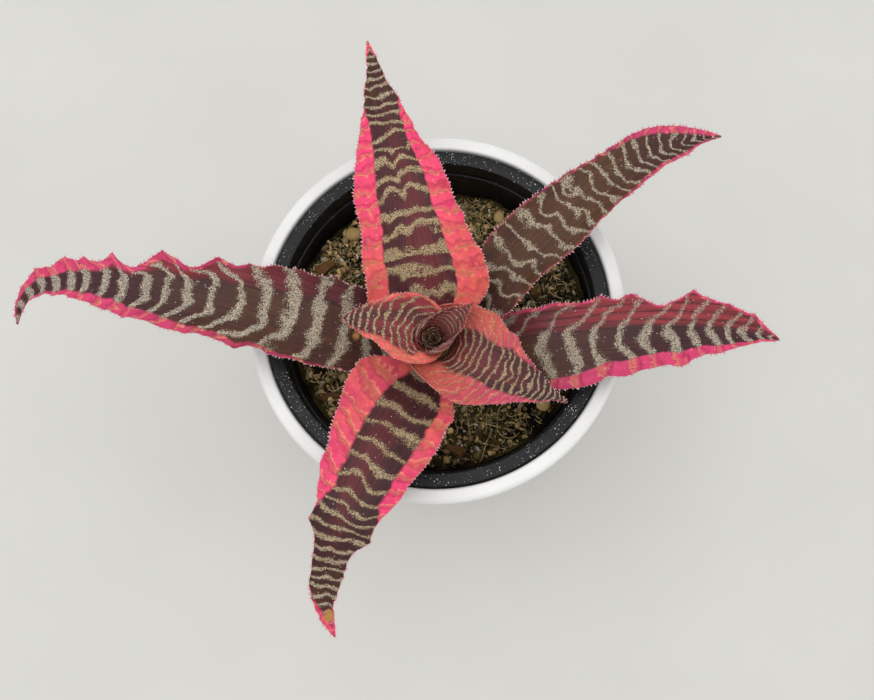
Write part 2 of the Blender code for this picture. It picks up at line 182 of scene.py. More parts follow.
LOOKS = {
    "leaf_left": dict(
        spacing=(8.0, 8.0, 8.4, 8.6, 8.4, 7.8, 7.2, 6.8, 6.4, 6.0, 5.6), duty=(0.38, 0.4, 0.38, 0.42, 0.5),
        chevron_left=(0, 0, 1, 7, 14, 13, 8, 4, 2, 2, 2), kink=0.35, taper=0.45,
        chevron_right=(0, 1, 1, 2, 6, 11, 12, 8, 4, 2, 2), wobble=(1.9, 5.0),
        panel_left=(1.1, 1.05, 0.98, 0.92, 0.88, 0.82, 0.72, 0.6, 0.52, 0.66, 0.8),
        panel_right=(1.1, 1.1, 1.1, 1.05, 0.96, 0.86, 0.74, 0.6, 0.48, 0.58, 0.8), soft=2.2,
        flush_right=(0.0, 0.1, 0.3, 0.6, 0.8, 0.8, 0.4, 0.0), warmth=(0.3, 0.2, 0.0, 0.0),
        olive=(0.35, 0.6, 0.7, 0.3, 0.0, 0.0), ash=(0.6, 0.8, 0.9), strength=(1.0, 0.9, 0.85),
        magenta=(1.9, 1.9, 1.8, 1.3, 1.0, 0.8, 0.8), spots=((0.155, 0.05, 1.1), (0.172, -0.14, 0.9)),
    ),
    "leaf_back_right": dict(
        spacing=(5.5, 5.7, 6.0, 5.8, 5.6, 5.2, 4.7, 4.3, 3.9, 3.6, 3.3), duty=(0.27, 0.3, 0.3, 0.29, 0.31),
        chevron_left=(0, 0, 0, 1, 1, 2, 3, 3), taper=0.2, chevron_right=(0, 1, 3, 4, 5, 6, 6, 5),
        wobble=(2.6, 4.4), panel_left=(1.0, 1.0, 0.98, 0.98, 0.97, 0.95, 0.93, 0.9, 0.78, 0.58, 0.4),
        panel_right=(1.0, 1.0, 0.98, 0.98, 0.98, 0.97, 0.95, 0.9, 0.8, 0.74, 0.6), soft=2.0,
        warmth=(0.5, 0.2, 0.15, 0.0, 0.0), olive=(0.1, 0.4, 1.0, 1.0, 0.9, 0.5, 0.0), ash=(0.6, 0.6, 0.8),
        magenta=(1.3, 1.9, 2.0, 2.0, 1.8, 1.1, 0.8), strength=(0.86, 0.86),
    ),
    "leaf_right": dict(
        spacing=(7.5, 7.5, 8.0, 8.4, 8.4, 8.4, 8.0, 7.0, 5.6, 5.0, 4.6), duty=(0.3, 0.36, 0.38, 0.36),
        tilt=-0.3, chevron_left=(1, 7, 13, 14, 11, 8, 5, 3), taper=0.25,
        chevron_right=(1, 2, 4, 5, 5, 5, 4, 4), wobble=(2.0, 5.0),
        panel_left=(1.0, 0.95, 0.9, 0.9, 0.93, 0.95, 0.95, 0.94, 0.94, 0.88, 0.5),
        panel_right=(0.95, 0.95, 0.9, 0.82, 0.74, 0.68, 0.66, 0.64, 0.7, 0.72, 0.5), soft=1.4,
        warmth=(0.3, 0.0, 0.0), olive=(0.9, 0.8, 0.3, 0.0, 0.0), strength=(0.8, 0.84),
        flush_left=(0.0, 0.0, 0.4, 0.9, 1.1, 1.2, 0.9, 0.4), ash=(0.7, 0.8),
        magenta=(1.9, 1.7, 1.3, 1.0, 0.9, 0.9), fade_left=0.3,
    ),
    "leaf_back": dict(
        spacing=(7.5, 7.4, 7.2, 6.8, 6.0, 5.2, 4.4, 3.7, 3.2, 3.0, 2.8),
        duty=(0.42, 0.4, 0.4, 0.38, 0.32, 0.34), bow=(0, 1, 2, 2, 1, 0, 0, 0), wobble=(2.7, 6.0), arched=True,
        taper=0.1, panel_left=(0.63, 0.63, 0.63, 0.63, 0.6, 0.58, 0.6, 0.7, 1.3, 1.3, 0.0),
        panel_right=(0.42, 0.42, 0.42, 0.42, 0.42, 0.44, 0.46, 0.6, 1.3, 1.3, 0.0), soft=1.8,
        warmth=(0.8, 0.7, 0.4, 0.2, 0.1, 0.0, 0.0), olive=(0.0, 0.1, 0.2, 0.5, 0.7),
        flush_left=(0.1, 0.1, 0.0), flush_middle=(0.5, 0.4, 0.2, 0.0), ash=(0.1, 0.1, 0.2, 0.8),
        magenta=(0.0, 0.0),
    ),
    "leaf_front": dict(
        spacing=(9.0, 9.0, 8.2, 6.6, 5.8, 5.0, 3.5, 3.2, 3.1, 3.0, 3.0),
        duty=(0.34, 0.34, 0.3, 0.27, 0.27, 0.3, 0.38, 0.38, 0.38, 0.38, 0.38), strength=(0.92, 0.92),
        bow=(0, 1, 2, 2, 2, 1, 1, 1), chevron_left=(0, 0, 0, 0, 0, 0, 0, 2, 0),
        chevron_right=(0, 0, 0, 0, 0, 0, 0, 2, 0), skew=(1, 1, 1, 1, 0, 0, 0, 0), wobble=(2.4, 6.5),
        taper=0.15, panel_left=(0.75, 0.72, 0.68, 0.66, 0.66, 0.7, 1.3, 1.3, 1.3, 0.8, -0.4),
        panel_right=(0.3, 0.3, 0.34, 0.4, 0.42, 0.46, 1.3, 1.3, 1.2, 0.6, -0.4), soft=3.0,
        warmth=(0.5, 0.5, 0.3, 0.1, 0.0, 0.0), olive=(0.0, 0.0, 0.1, 0.1, 0.5, 0.6),
        flush_middle=(0.0, 0.1, 0.3, 0.3, 0.1, 0.0, 0.0), ash=(0.1, 0.1, 0.3, 0.8),
        magenta=(1.2, 0.8, 0.4, 0.1, 0.0, 0.0), spots=((0.915, -0.1, 1.8), (0.9, 0.1, 1.3)),
    ),
    "leaf_inner_left": dict(
        spacing=(2.1, 2.5, 2.8, 2.6, 2.1, 1.7), duty=(0.34, 0.32, 0.34, 0.42), bow=(3, 3, 2, 1, 1),
        wobble=(0.7, 2.6), taper=0.2, panel_left=(0.55, 0.55, 0.6, 0.7, 1.0, 1.3),
        panel_right=(0.9, 0.9, 0.85, 0.9, 1.1, 1.3), soft=5.0, flush_right=(0.9, 0.8, 0.5, 0.1),
        warmth=(0.8, 0.6, 0.5, 0.4), olive=(0.0, 0.0, 0.1, 0.5), flush_left=(0.9, 0.7, 0.2, 0.0),
        flush_middle=(0.8, 0.6, 0.0), ash=(0.1, 0.1, 0.7), magenta=(1.3, 0.9, 0.6), thin=0.55,
    ),
    "leaf_inner_front": dict(
        spacing=(2.0, 2.3, 2.6, 2.5, 2.2, 1.9, 1.7), duty=(0.34, 0.34, 0.34, 0.4), bow=(6, 5, 4, 2, 1, 1),
        wobble=(1.1, 2.8), panel_left=(0.35, 0.42, 0.55, 0.75, 0.95, 1.3, 1.3),
        panel_right=(0.3, 0.32, 0.42, 0.55, 0.75, 1.0, 1.3), soft=3.2,
        warmth=(0.75, 0.65, 0.4, 0.2, 0.1, 0.1), olive=(0.0, 0.0, 0.1, 0.5), flush_left=(0.2, 0.0),
        flush_middle=(0.5, 0.3, 0.0), strength=(0.82, 0.85), ash=(0.0, 0.1, 0.6),
        magenta=(1.85, 1.6, 1.1, 0.6), taper=0.2, thin=0.3,
    ),
    "leaf_heart": dict(
        spacing=(1.3, 1.4, 1.4, 1.2), duty=(0.36, 0.34), bow=(1.5, 1, 0.5), wobble=(0.3, 1.8),
        panel_left=(1.2, 1.2, 1.2, 1.3), panel_right=(1.2, 1.2, 1.2, 1.3), soft=4.5, warmth=(0.8, 0.7),
        olive=(0.3, 0.4), flush_left=(0.6, 0.6), flush_right=(0.6, 0.6), flush_middle=(0.4, 0.5),
        ash=(0.0, 0.0), magenta=(1.9, 1.8), thin=0.6, strength=(0.5, 0.6),
    ),
}

# Young leaves rolled round the stem's axis: middle angle, radius at the foot and at the lip, height.
WHORL = {
    "whorl_leaf_outer": dict(angle=215, foot=2.0, lip=3.5, height=5.6),
    "whorl_leaf_middle": dict(angle=350, foot=1.3, lip=2.4, height=5.2),
    "whorl_leaf_inner": dict(angle=130, foot=0.6, lip=1.35, height=4.6),
}
WHORL_WRAP = 155
WHORL_SPIRAL = 0.05
WHORL_MARGIN_DROP = 0.45

# Loose pieces: the look's kind and its turn about Z. Their places and sizes come from their CAD nodes.
LOOSE = {
    "pebble_back_left": ("pebble", 20),
    "pebble_back_right": ("pebble", 70),
    "pebble_front_right": ("pebble", 140),
    "bark_chip_left": ("chip", 35),
    "bark_chip_front": ("chip", 160),
    "bark_chip_front_left": ("chip", 8),
    "bark_chip_right": ("chip", 110),
}

# Camera: a hand-held telephone looking down, a little in front of the pot.
CAMERA_PLACE = (16.34 * MM, -77.45 * MM, 431.6 * MM)
CAMERA_RIGHT = (0.99875, 0.0, -0.04993)
CAMERA_UP = (0.00989, 0.98020, 0.19775)
CAMERA_LENS = 41.19


# ---------------------------------------------------------------- arrays


def stations(values, u):
    """Straight lines through evenly spaced values, read at u from 0 to 1."""
    return np.interp(u, np.linspace(0, 1, len(values)), values)


def through_stations(values, u):
    """A smooth curve through evenly spaced values (Catmull-Rom), read at u from 0 to 1."""
    values = np.array(values, dtype=float)
    spans = len(values) - 1
    place = np.clip(u, 0.0, 1.0) * spans
    index = np.minimum(place.astype(int), spans - 1)
    part = place - index
    padded = np.concatenate([[2 * values[0] - values[1]], values, [2 * values[-1] - values[-2]]])
    a, b, c, d = (padded[index + k] for k in range(4))
    return b + 0.5 * part * (c - a + part * (2 * a - 5 * b + 4 * c - d + part * (3 * (b - c) + d - a)))


def smooth_step(x):
    x = np.clip(x, 0.0, 1.0)
    return x * x * (3 - 2 * x)


def drift(x, y, cell, seed):
    """Smooth noise from -1 to 1: random values on a square lattice, blended with eased weights."""
    lattice = np.random.default_rng(seed).uniform(-1, 1, (64, 64))
    px, py = np.broadcast_arrays(np.asarray(x) / cell, np.asarray(y) / cell)
    ix, iy = np.floor(px).astype(int), np.floor(py).astype(int)
    fx, fy = smooth_step(px - ix), smooth_step(py - iy)
    near = lattice[ix % 64, iy % 64] * (1 - fx) + lattice[(ix + 1) % 64, iy % 64] * fx
    far = lattice[ix % 64, (iy + 1) % 64] * (1 - fx) + lattice[(ix + 1) % 64, (iy + 1) % 64] * fx
    return near * (1 - fy) + far * fy


def unit(vectors):
    return vectors / np.maximum(np.linalg.norm(vectors, axis=-1, keepdims=True), 1e-12)


def grid_triangles(index):
    """Two triangles for each cell of a grid of vertex numbers."""
    a, b, c, d = index[:-1, :-1], index[:-1, 1:], index[1:, 1:], index[1:, :-1]
    return np.concatenate([np.stack([a, b, c], -1).reshape(-1, 3), np.stack([a, c, d], -1).reshape(-1, 3)])


def slab(top, bottom):
    """A closed sheet: the top grid, the bottom grid turned over, and a strip round their common edge."""
    rows, columns = top.shape[:2]
    upper = np.arange(rows * columns).reshape(rows, columns)
    edge = np.concatenate([upper[0, :-1], upper[:-1, -1], upper[-1, :0:-1], upper[:, 0][::-1]])
    rim = np.stack([edge, edge + rows * columns])
    over, strip = grid_triangles(upper), grid_triangles(rim)[:, ::-1]
    under = over[:, ::-1] + rows * columns
    return np.concatenate([top.reshape(-1, 3), bottom.reshape(-1, 3)]), np.concatenate([over, under, strip])


def skin(rings):
    """Closed bodies on (bodies, rows, columns, 3) points: each row a ring, with a pole in each end ring."""
    bodies, rows, columns = rings.shape[:3]
    index = np.arange(bodies * rows * columns).reshape(bodies, rows, columns)
    after = np.roll(index, -1, axis=2)
    a, b, c, d = index[:, :-1], after[:, :-1], after[:, 1:], index[:, 1:]
    first = bodies * rows * columns + np.arange(bodies)[:, None]
    last = first + bodies
    first, last = (np.broadcast_to(pole, (bodies, columns)) for pole in (first, last))
    triangles = [
        np.stack([a, b, c], -1), np.stack([a, c, d], -1),
        np.stack([first, after[:, 0], index[:, 0]], -1), np.stack([last, index[:, -1], after[:, -1]], -1),
    ]
    points = [rings.reshape(-1, 3), rings[:, 0].mean(1), rings[:, -1].mean(1)]
    return np.concatenate(points), np.concatenate([t.reshape(-1, 3) for t in triangles])


def facing_out(points, triangles):
    """The triangles, turned round if the volume that they enclose comes out negative."""
    corners = points[triangles]
    volume = np.einsum("ij,ij->i", corners[:, 0], np.cross(corners[:, 1], corners[:, 2])).sum()
    return triangles if volume > 0 else triangles[:, ::-1]


def turned(profile, steps):
    """A (radius, height) profile carried round Z: each of its points becomes a ring."""
    profile = np.array(profile)
    angle = np.linspace(0, 2 * math.pi, steps, endpoint=False)
    rings = np.empty((1, len(profile), steps, 3))
    rings[0, :, :, 0] = profile[:, :1] * np.cos(angle)
    rings[0, :, :, 1] = profile[:, :1] * np.sin(angle)
    rings[0, :, :, 2] = profile[:, 1:]
    return rings


def arc(centre, radius, start, end, steps):
    """Points on a circle from one angle in degrees to another, with both ends."""
    angle = np.radians(np.linspace(start, end, steps + 1))
    return list(zip(centre[0] + radius * np.cos(angle), centre[1] + radius * np.sin(angle)))


def add_piece(name, points, triangles, material, nodes, attributes=None, sharp=None):
    """Puts arrays into a mesh facing out, gives it its attributes and material, and joins it to the frame."""
    triangles = facing_out(points, triangles)
    mesh = bpy.data.meshes.new(name)
    mesh.vertices.add(len(points))
    mesh.vertices.foreach_set("co", np.ascontiguousarray(points, dtype=np.float32).ravel())
    mesh.loops.add(triangles.size)
    mesh.loops.foreach_set("vertex_index", np.ascontiguousarray(triangles, dtype=np.int32).ravel())
    mesh.polygons.add(len(triangles))
    mesh.polygons.foreach_set("loop_start", np.arange(0, triangles.size, 3, dtype=np.int32))
    mesh.update(calc_edges=True)
    if mesh.validate():
        raise RuntimeError(f"{name}: its mesh had faults")
    for label, values in (attributes or {}).items():
        layer = mesh.attributes.new(label, "FLOAT_VECTOR", "POINT")
        layer.data.foreach_set("vector", np.ascontiguousarray(values, dtype=np.float32).ravel())
    mesh.shade_smooth()
    if sharp is not None:
        mesh.set_sharp_from_angle(angle=math.radians(sharp))
    mesh.materials.append(material)
    piece = bpy.data.objects.new(name, mesh)
    bpy.context.scene.collection.objects.link(piece)
    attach(piece, BODY)
    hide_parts(*nodes)
    return piece


# ---------------------------------------------------------------- materials


def srgb(code):
    """A six-digit sRGB hex value as linear red, green, blue and a full alpha."""
    values = np.array([int(code[i : i + 2], 16) for i in (0, 2, 4)]) / 255
    linear = np.where(values <= 0.04045, values / 12.92, ((values + 0.055) / 1.055) ** 2.4)
    return (*linear.tolist(), 1.0)


def add(tree, kind, inputs=None, **settings):
    """Adds one shader node. An input is joined where its value is a node or a socket, and set where not."""
    node = tree.nodes.new("ShaderNode" + kind)
    for key, value in settings.items():
        setattr(node, key, value)
    for key, value in (inputs or {}).items():
        if isinstance(value, bpy.types.Node):
            value = next(socket for socket in value.outputs if socket.enabled)
        if isinstance(value, bpy.types.NodeSocket):
            tree.links.new(value, node.inputs[key])
        else:
            node.inputs[key].default_value = value
    return node


def new_material(name, **sockets):
    """A material with one Principled shader, whose even values are set on its own sockets."""
    made = bpy.data.materials.new(name)
    made.use_nodes = True
    shader = made.node_tree.nodes["Principled BSDF"]
    for key, value in sockets.items():
        shader.inputs[key.replace("_", " ")].default_value = value
    return made, made.node_tree, shader


def place_of(tree):
    return add(tree, "TexCoord").outputs["Object"]


def layer_parts(tree, label):
    """The three values of one of the mesh's own layers."""
    return add(tree, "SeparateXYZ", {0: add(tree, "Attribute", attribute_name=label).outputs["Vector"]})


def noise(tree, where, size, detail, roughness=0.5):
    """Cloudy noise whose lumps have a size in mm."""
    sockets = {"Vector": where, "Scale": 1 / (size * MM), "Detail": detail, "Roughness": roughness}
    return add(tree, "TexNoise", sockets)


def cells_of(tree, where, size):
    """Scattered cells of a size in mm, each with its own colour and the distance to its middle."""
    return add(tree, "TexVoronoi", {"Vector": where, "Scale": 1 / (size * MM), "Randomness": 1.0})


def blend(tree, share, first, second):
    """A colour between two, nearer the second as the share rises."""
    return add(tree, "Mix", {0: share, 6: first, 7: second}, data_type="RGBA")


def remap(tree, value, before, after, smooth=False):
    """A value carried from one range to another and held at the ends, on a line or an eased curve."""
    ends = {1: before[0], 2: before[1], 3: after[0], 4: after[1]}
    return add(tree, "MapRange", {0: value, **ends}, interpolation_type="SMOOTHSTEP" if smooth else "LINEAR")


def times(tree, value, factor, plus=None):
    """The product of two values, with a third added where one is given."""
    if plus is None:
        return add(tree, "Math", {0: value, 1: factor}, operation="MULTIPLY")
    return add(tree, "Math", {0: value, 1: factor, 2: plus}, operation="MULTIPLY_ADD")


def scaled(tree, shade, factor):
    """A colour made brighter or darker by a factor."""
    return add(tree, "VectorMath", {0: shade, 3: factor}, operation="SCALE")


def leaf_blade(name):
    """Succulent leaf blade: waxy skin under cross bands of pale trichome scurf.

    The skin gives a dull satin gleam and the scurf a dry, raised, granular band with frayed edges.
    """
    settings = bpy.context.scene.bromeliad_leaves
    made, tree, shader = new_material(name)
    shader.inputs["IOR"].default_value = 1.45
    shader.inputs["Specular IOR Level"].default_value = 0.32
    shader.inputs["Subsurface Weight"].default_value = 0.1
    shader.inputs["Subsurface Radius"].default_value = (1.0, 0.35, 0.25)
    shader.inputs["Subsurface Scale"].default_value = 1.4 * MM
    where = place_of(tree)
    band, tint, coat, along, cross = (
        layer_parts(tree, label)
        for label in ("band", "tint", "coat", "along", "cross")
    )
    # Wander of 2 mm and grain of 0.42 mm: the real grains are 0.2 mm, drawn coarser so that they show.
    wander = noise(tree, where, 2.0, 1.0)
    grain = noise(tree, where, 0.42, 3.0, 0.75)
    patch = noise(tree, where, 7.0, 2.0)
    shift = times(tree, wander.outputs["Fac"], 0.26, plus=band.outputs["X"])
    apart = add(tree, "Math", {0: shift, 1: 0.5}, operation="PINGPONG")
    # How far inside a band a point is, from -1 to 1 of the band's own duty, then frayed by the grain.
    inside = times(tree, apart, -2.0, plus=band.outputs["Y"])
    frayed = times(tree, grain.outputs["Fac"], 1.5, plus=inside)
    mask = remap(tree, frayed, (0.66, 0.88), (0.0, 1.0), smooth=True)
    scurf = times(tree, mask, band.outputs["Z"])
    # Skin under the scurf: maroon, greener or redder in patches, with fine lengthwise veins.
    lengthwise = add(tree, "Attribute", attribute_name="along").outputs["Vector"]
    streak_place = add(tree, "VectorMath", {0: lengthwise, 1: (1.0, 0.05, 0.0)}, operation="MULTIPLY")
    streak = noise(tree, streak_place, 0.7, 1.0)
    olive = times(tree, tint.outputs["Z"], patch.outputs["Fac"])
    olive = remap(tree, olive, (0.08, 0.5), (0.0, 1.0))
    flush = remap(tree, tint.outputs["Z"], (0.0, -1.0), (0.0, 1.0))
    skin_colour = blend(tree, olive, settings.maroon, settings.olive)
    skin_colour = blend(tree, flush, skin_colour, settings.flush)
    darker = remap(tree, streak.outputs["Fac"], (0.3, 0.7), (0.7, 1.25))
    skin_colour = scaled(tree, skin_colour, darker)
    # Margin: pink, coral where warm, with patches.
    warm = times(tree, patch.outputs["Fac"], 0.9, plus=tint.outputs["Y"])
    warm = remap(tree, warm, (0.5, 1.35), (0.0, 1.0), smooth=True)
    pink = blend(tree, along.outputs["Z"], settings.hot_pink, settings.magenta)
    pink = blend(tree, warm, pink, settings.coral)
    mottle = remap(tree, wander.outputs["Fac"], (0.3, 0.7), (0.88, 1.08))
    pink = scaled(tree, pink, mottle)
    # Where the magenta value passes 1, mostly near the stem and on the rolled young leaves, the pink is dulled
    # and darkened: partly the bases' duller colour, partly painted shade of the rosette's funnel.
    dull = remap(tree, along.outputs["Z"], (1.0, 2.0), (1.0, 0.5))
    pink = scaled(tree, pink, dull)
    # Across the pink each band thins to a peach line, sharp below and fading towards the tip.
    ragged_line = times(tree, wander.outputs["Fac"], 0.8, plus=band.outputs["X"])
    sweep = add(tree, "Math", {0: ragged_line}, operation="FRACT")
    peach = remap(tree, sweep, (0.0, 0.42), (1.0, 0.0), smooth=True)
    crumbs = remap(tree, grain.outputs["Fac"], (0.38, 0.62), (0.25, 0.75))
    peach = times(tree, peach, crumbs)
    peach = times(tree, peach, band.outputs["Z"])
    pink = blend(tree, peach, pink, settings.scurf_on_pink)
    ragged = times(tree, wander.outputs["Fac"], 0.5, plus=tint.outputs["X"])
    margin = remap(tree, ragged, (0.5, 1.0), (0.0, 1.0), smooth=True)
    blade = blend(tree, margin, skin_colour, pink)
    # Scurf: tan to ash grey, with dark gaps between its grains, and thin where it crosses the pink.
    scurf_colour = blend(tree, coat.outputs["Y"], settings.scurf_tan, settings.scurf_ash)
    speckle = remap(tree, grain.outputs["Fac"], (0.38, 0.64), (0.2, 1.85))
    scurf_colour = scaled(tree, scurf_colour, speckle)
    thinned = remap(tree, margin, (0.1, 0.9), (0.95, cross.outputs["X"]))
    cover = times(tree, scurf, thinned)
    blade = blend(tree, cover, blade, scurf_colour)
    # Loose white scales, 0.2 mm wide, on a third of the 1.5 mm cells.
    cells = cells_of(tree, where, 1.5)
    scale = remap(tree, cells.outputs["Distance"], (0.13, 0.07), (0.0, 0.8))
    lot = add(tree, "SeparateXYZ", {0: cells.outputs["Color"]})
    lot = add(tree, "Math", {0: lot.outputs["X"], 1: 0.66}, operation="GREATER_THAN")
    scale = times(tree, scale, lot)
    blade = blend(tree, scale, blade, srgb("D9CFC6"))
    # Dry spots, and the silvery underside.
    blade = blend(tree, coat.outputs["Z"], blade, settings.dry)
    silver = blend(tree, patch.outputs["Fac"], srgb("7C6664"), srgb("B3A29B"))
    silver = scaled(tree, silver, speckle)
    silver_cover = times(tree, coat.outputs["X"], 0.8)
    blade = blend(tree, silver_cover, blade, silver)
    blade = blend(tree, cross.outputs["Y"], blade, settings.spine)
    tree.links.new(next(s for s in blade.outputs if s.enabled), shader.inputs["Base Color"])
    rough = remap(tree, scurf, (0.0, 1.0), (0.5, 0.9))
    tree.links.new(rough.outputs[0], shader.inputs["Roughness"])
    raised = times(tree, scurf, grain.outputs["Fac"])
    raised = times(tree, streak.outputs["Fac"], 0.3, plus=raised)
    bump = add(tree, "Bump", {"Strength": 0.9, "Distance": 0.35 * MM, "Height": raised})
    tree.links.new(bump.outputs[0], shader.inputs["Normal"])
    return made


def glazed_ceramic():
    """Slip-cast white earthenware under a satin glaze, with tiny dark and pinkish specks of grit."""
    settings = bpy.context.scene.bromeliad_pots
    made, tree, shader = new_material("glazed_earthenware", Roughness=0.34, IOR=1.52, Coat_Weight=0.25)
    shader.inputs["Coat Roughness"].default_value = 0.12
    where = place_of(tree)
    cloud = noise(tree, where, 9, 3.0)
    glaze = blend(tree, cloud.outputs["Fac"], settings.glaze_shade, settings.glaze)
    cells = cells_of(tree, where, 1.5)
    speck = remap(tree, cells.outputs["Distance"], (0.15, 0.09), (0.0, 0.55))
    hue = add(tree, "SeparateXYZ", {0: cells.outputs["Color"]})
    grit = blend(tree, hue.outputs["X"], srgb("6E6460"), srgb("C99A8E"))
    shown = times(tree, speck, hue.outputs["Y"])
    glaze = blend(tree, shown, glaze, grit)
    tree.links.new(glaze.outputs[2], shader.inputs["Base Color"])
    ripple = noise(tree, where, 3, 2.0)
    bump = add(tree, "Bump", {"Strength": 0.25, "Distance": 0.08 * MM, "Height": ripple.outputs["Fac"]})
    tree.links.new(bump.outputs[0], shader.inputs["Normal"])
    return made


def moulded_plastic():
    """Injection-moulded black polypropylene, with a dusty film of dried feed water."""
    settings = bpy.context.scene.bromeliad_pots
    made, tree, shader = new_material("moulded_polypropylene", IOR=1.49, Specular_IOR_Level=0.28)
    where = place_of(tree)
    dust = noise(tree, where, 6, 4.0, 0.7)
    film = remap(tree, dust.outputs["Fac"], (0.45, 0.75), (0.0, 0.28))
    base = blend(tree, film, settings.plastic, settings.film)
    cells = cells_of(tree, where, 0.9)
    speck = remap(tree, cells.outputs["Distance"], (0.16, 0.08), (0.0, 1.0))
    hue = add(tree, "SeparateXYZ", {0: cells.outputs["Color"]})
    chance = remap(tree, hue.outputs["X"], (0.72, 0.8), (0.0, 0.8))
    shown = times(tree, speck, chance)
    base = blend(tree, shown, base, srgb("CFCDC8"))
    tree.links.new(base.outputs[2], shader.inputs["Base Color"])
    rough = remap(tree, dust.outputs["Fac"], (0.3, 0.7), (0.32, 0.6))
    tree.links.new(rough.outputs[0], shader.inputs["Roughness"])
    bump = add(tree, "Bump", {"Strength": 0.3, "Distance": 0.1 * MM, "Height": dust.outputs["Fac"]})
    tree.links.new(bump.outputs[0], shader.inputs["Normal"])
    return made


def crumbly(name, low, high, grain, roughness=0.95, depth=0.25, reach=(0.2, 1.4)):
    """A dry, matt, granular matter: two colours mixed by the piece's own shade and by a grain in mm."""
    made, tree, shader = new_material(name, Roughness=roughness, IOR=1.4)
    shader.inputs["Specular IOR Level"].default_value = 0.25
    where = place_of(tree)
    shade = layer_parts(tree, "shade")
    fine = noise(tree, where, grain, 3.0, 0.65)
    mixed = times(tree, fine.outputs["Fac"], 0.7, plus=shade.outputs["X"])
    mixed = remap(tree, mixed, (reach[0], reach[1]), (0.0, 1.0))
    base = blend(tree, mixed, srgb(low), srgb(high))
    green = blend(tree, shade.outputs["Y"], base, srgb("6A6630"))
    tree.links.new(green.outputs[2], shader.inputs["Base Color"])
    bump = add(tree, "Bump", {"Strength": 0.8, "Distance": depth * MM, "Height": fine.outputs["Fac"]})
    tree.links.new(bump.outputs[0], shader.inputs["Normal"])
    return made


# ---------------------------------------------------------------- leaves


def midrib(leaf, u):
    """The midrib's points, side and up directions, from its slope and compass summed up.

    A leaf with a sheath starts with the sheath's slope and eases into the blade's over its mouth.
    """
    sheath = leaf["sheath"]
    before = sheath["length"] if sheath else 0.0
    total = leaf["length"] + before
    fine = np.linspace(0.0, 1.0, PATH_STEPS + 1)
    along = np.clip((fine * total - before) / leaf["length"], 0.0, 1.0)
    hook = leaf["hook"] * smooth_step((along - HOOK_START) / (1 - HOOK_START))
    compass = np.radians(leaf["heading"] + leaf["sweep"] * along + leaf["curl"] * along**2 + hook)
    slope = leaf["rise"] + (leaf["droop"] - leaf["rise"]) * along ** leaf["bend"]
    if leaf["fold"]:
        place, angle, spread = leaf["fold"]
        slope = slope + angle * smooth_step((along - place) / spread + 0.5)
    if sheath:
        opened = smooth_step((fine * total - before + MOUTH / 2) / MOUTH)
        slope = sheath["slope"] + (slope - sheath["slope"]) * opened
        foot = sheath["foot"]
    else:
        foot = (STEM_RADIUS / MM + LEAF_OFF_STEM / MM, leaf["base"])
    slope = np.radians(slope)
    ahead = np.stack([np.cos(slope) * np.cos(compass), np.cos(slope) * np.sin(compass), np.sin(slope)], 1)
    steps = (ahead[1:] + ahead[:-1]) / 2 * total * MM / PATH_STEPS
    bearing = math.radians(leaf["heading"])
    out = np.array((math.cos(bearing), math.sin(bearing))) * foot[0] * MM + STEM_AXIS
    start = np.array((*out, RIM_HEIGHT + foot[1] * MM))
    path = start + np.concatenate([np.zeros((1, 3)), np.cumsum(steps, axis=0)])
    points = np.stack([np.interp(u, fine, path[:, k]) for k in range(3)], 1)
    ahead = np.stack([np.interp(u, fine, ahead[:, k]) for k in range(3)], 1)
    turn = np.interp(u, fine, compass)
    side = np.stack([-np.sin(turn), np.cos(turn), np.zeros_like(turn)], 1)
    return points, side, np.cross(ahead, side)


def half_widths(leaf, u, side, seed):
    """Half width in mm on one side: stations, neck, big teeth with hollows between and fine serration."""
    neck, share = leaf["neck"]
    distance = u * leaf["length"]
    width = through_stations((*leaf[side], TIP_HALF_WIDTH), u)
    for place, height, reach in leaf["teeth_" + side]:
        away = np.abs(distance - place)
        width = width + height * np.exp(-away / reach)
        width = width - 0.45 * height * np.exp(-(((away - 2.2 * reach) / (1.4 * reach)) ** 2))
    fade = smooth_step((1 - u) * 12)
    width = width + fade * 0.28 * drift(distance, 0.0, 2.0, seed)
    width = width + fade * 0.5 * drift(distance, 9.0, 7.0, seed + 1)
    return np.maximum(width * (share + (1 - share) * smooth_step(distance / neck)), LEAST_HALF_WIDTH)


def margin_spines(inner, edge, over, seed, scale, settings):
    """Spines along a margin: four-sided points whose roots lie in the blade and which lean to the tip."""
    run = np.concatenate([[0.0], np.cumsum(np.linalg.norm(np.diff(edge, axis=0), axis=1))])
    count = max(int(run[-1] / settings.spine_pitch), 8)
    rng = np.random.default_rng(seed)
    at = np.linspace(0.05, 0.985, count) * run[-1] + rng.uniform(-0.3, 0.3, count) * settings.spine_pitch
    pick = np.clip(np.searchsorted(run, at), 1, len(edge) - 2)
    root = np.stack([np.interp(at, run, edge[:, k]) for k in range(3)], 1)
    tangent = unit(edge[pick + 1] - edge[pick - 1])
    out = unit(edge[pick] - inner[pick])
    long = settings.spine_length * scale * rng.uniform(0.6, 1.25, count)[:, None]
    point = unit(out + tangent * rng.uniform(0.15, 0.8, count)[:, None]) * long
    wide, thick = 0.6 * long * tangent, 0.2 * long * over[pick]
    back = root - out * 0.25 * MM
    corners = np.stack([back + wide, back + thick, back - wide, back - thick, root + point], 1).reshape(-1, 3)
    pattern = np.array([[0, 1, 4], [1, 2, 4], [2, 3, 4], [3, 0, 4], [0, 2, 1], [0, 3, 2]])
    triangles = (5 * np.arange(count)[:, None, None] + pattern[None]).reshape(-1, 3)
    return corners, facing_out(corners, triangles), (at / run[-1]).repeat(5)[:, None]


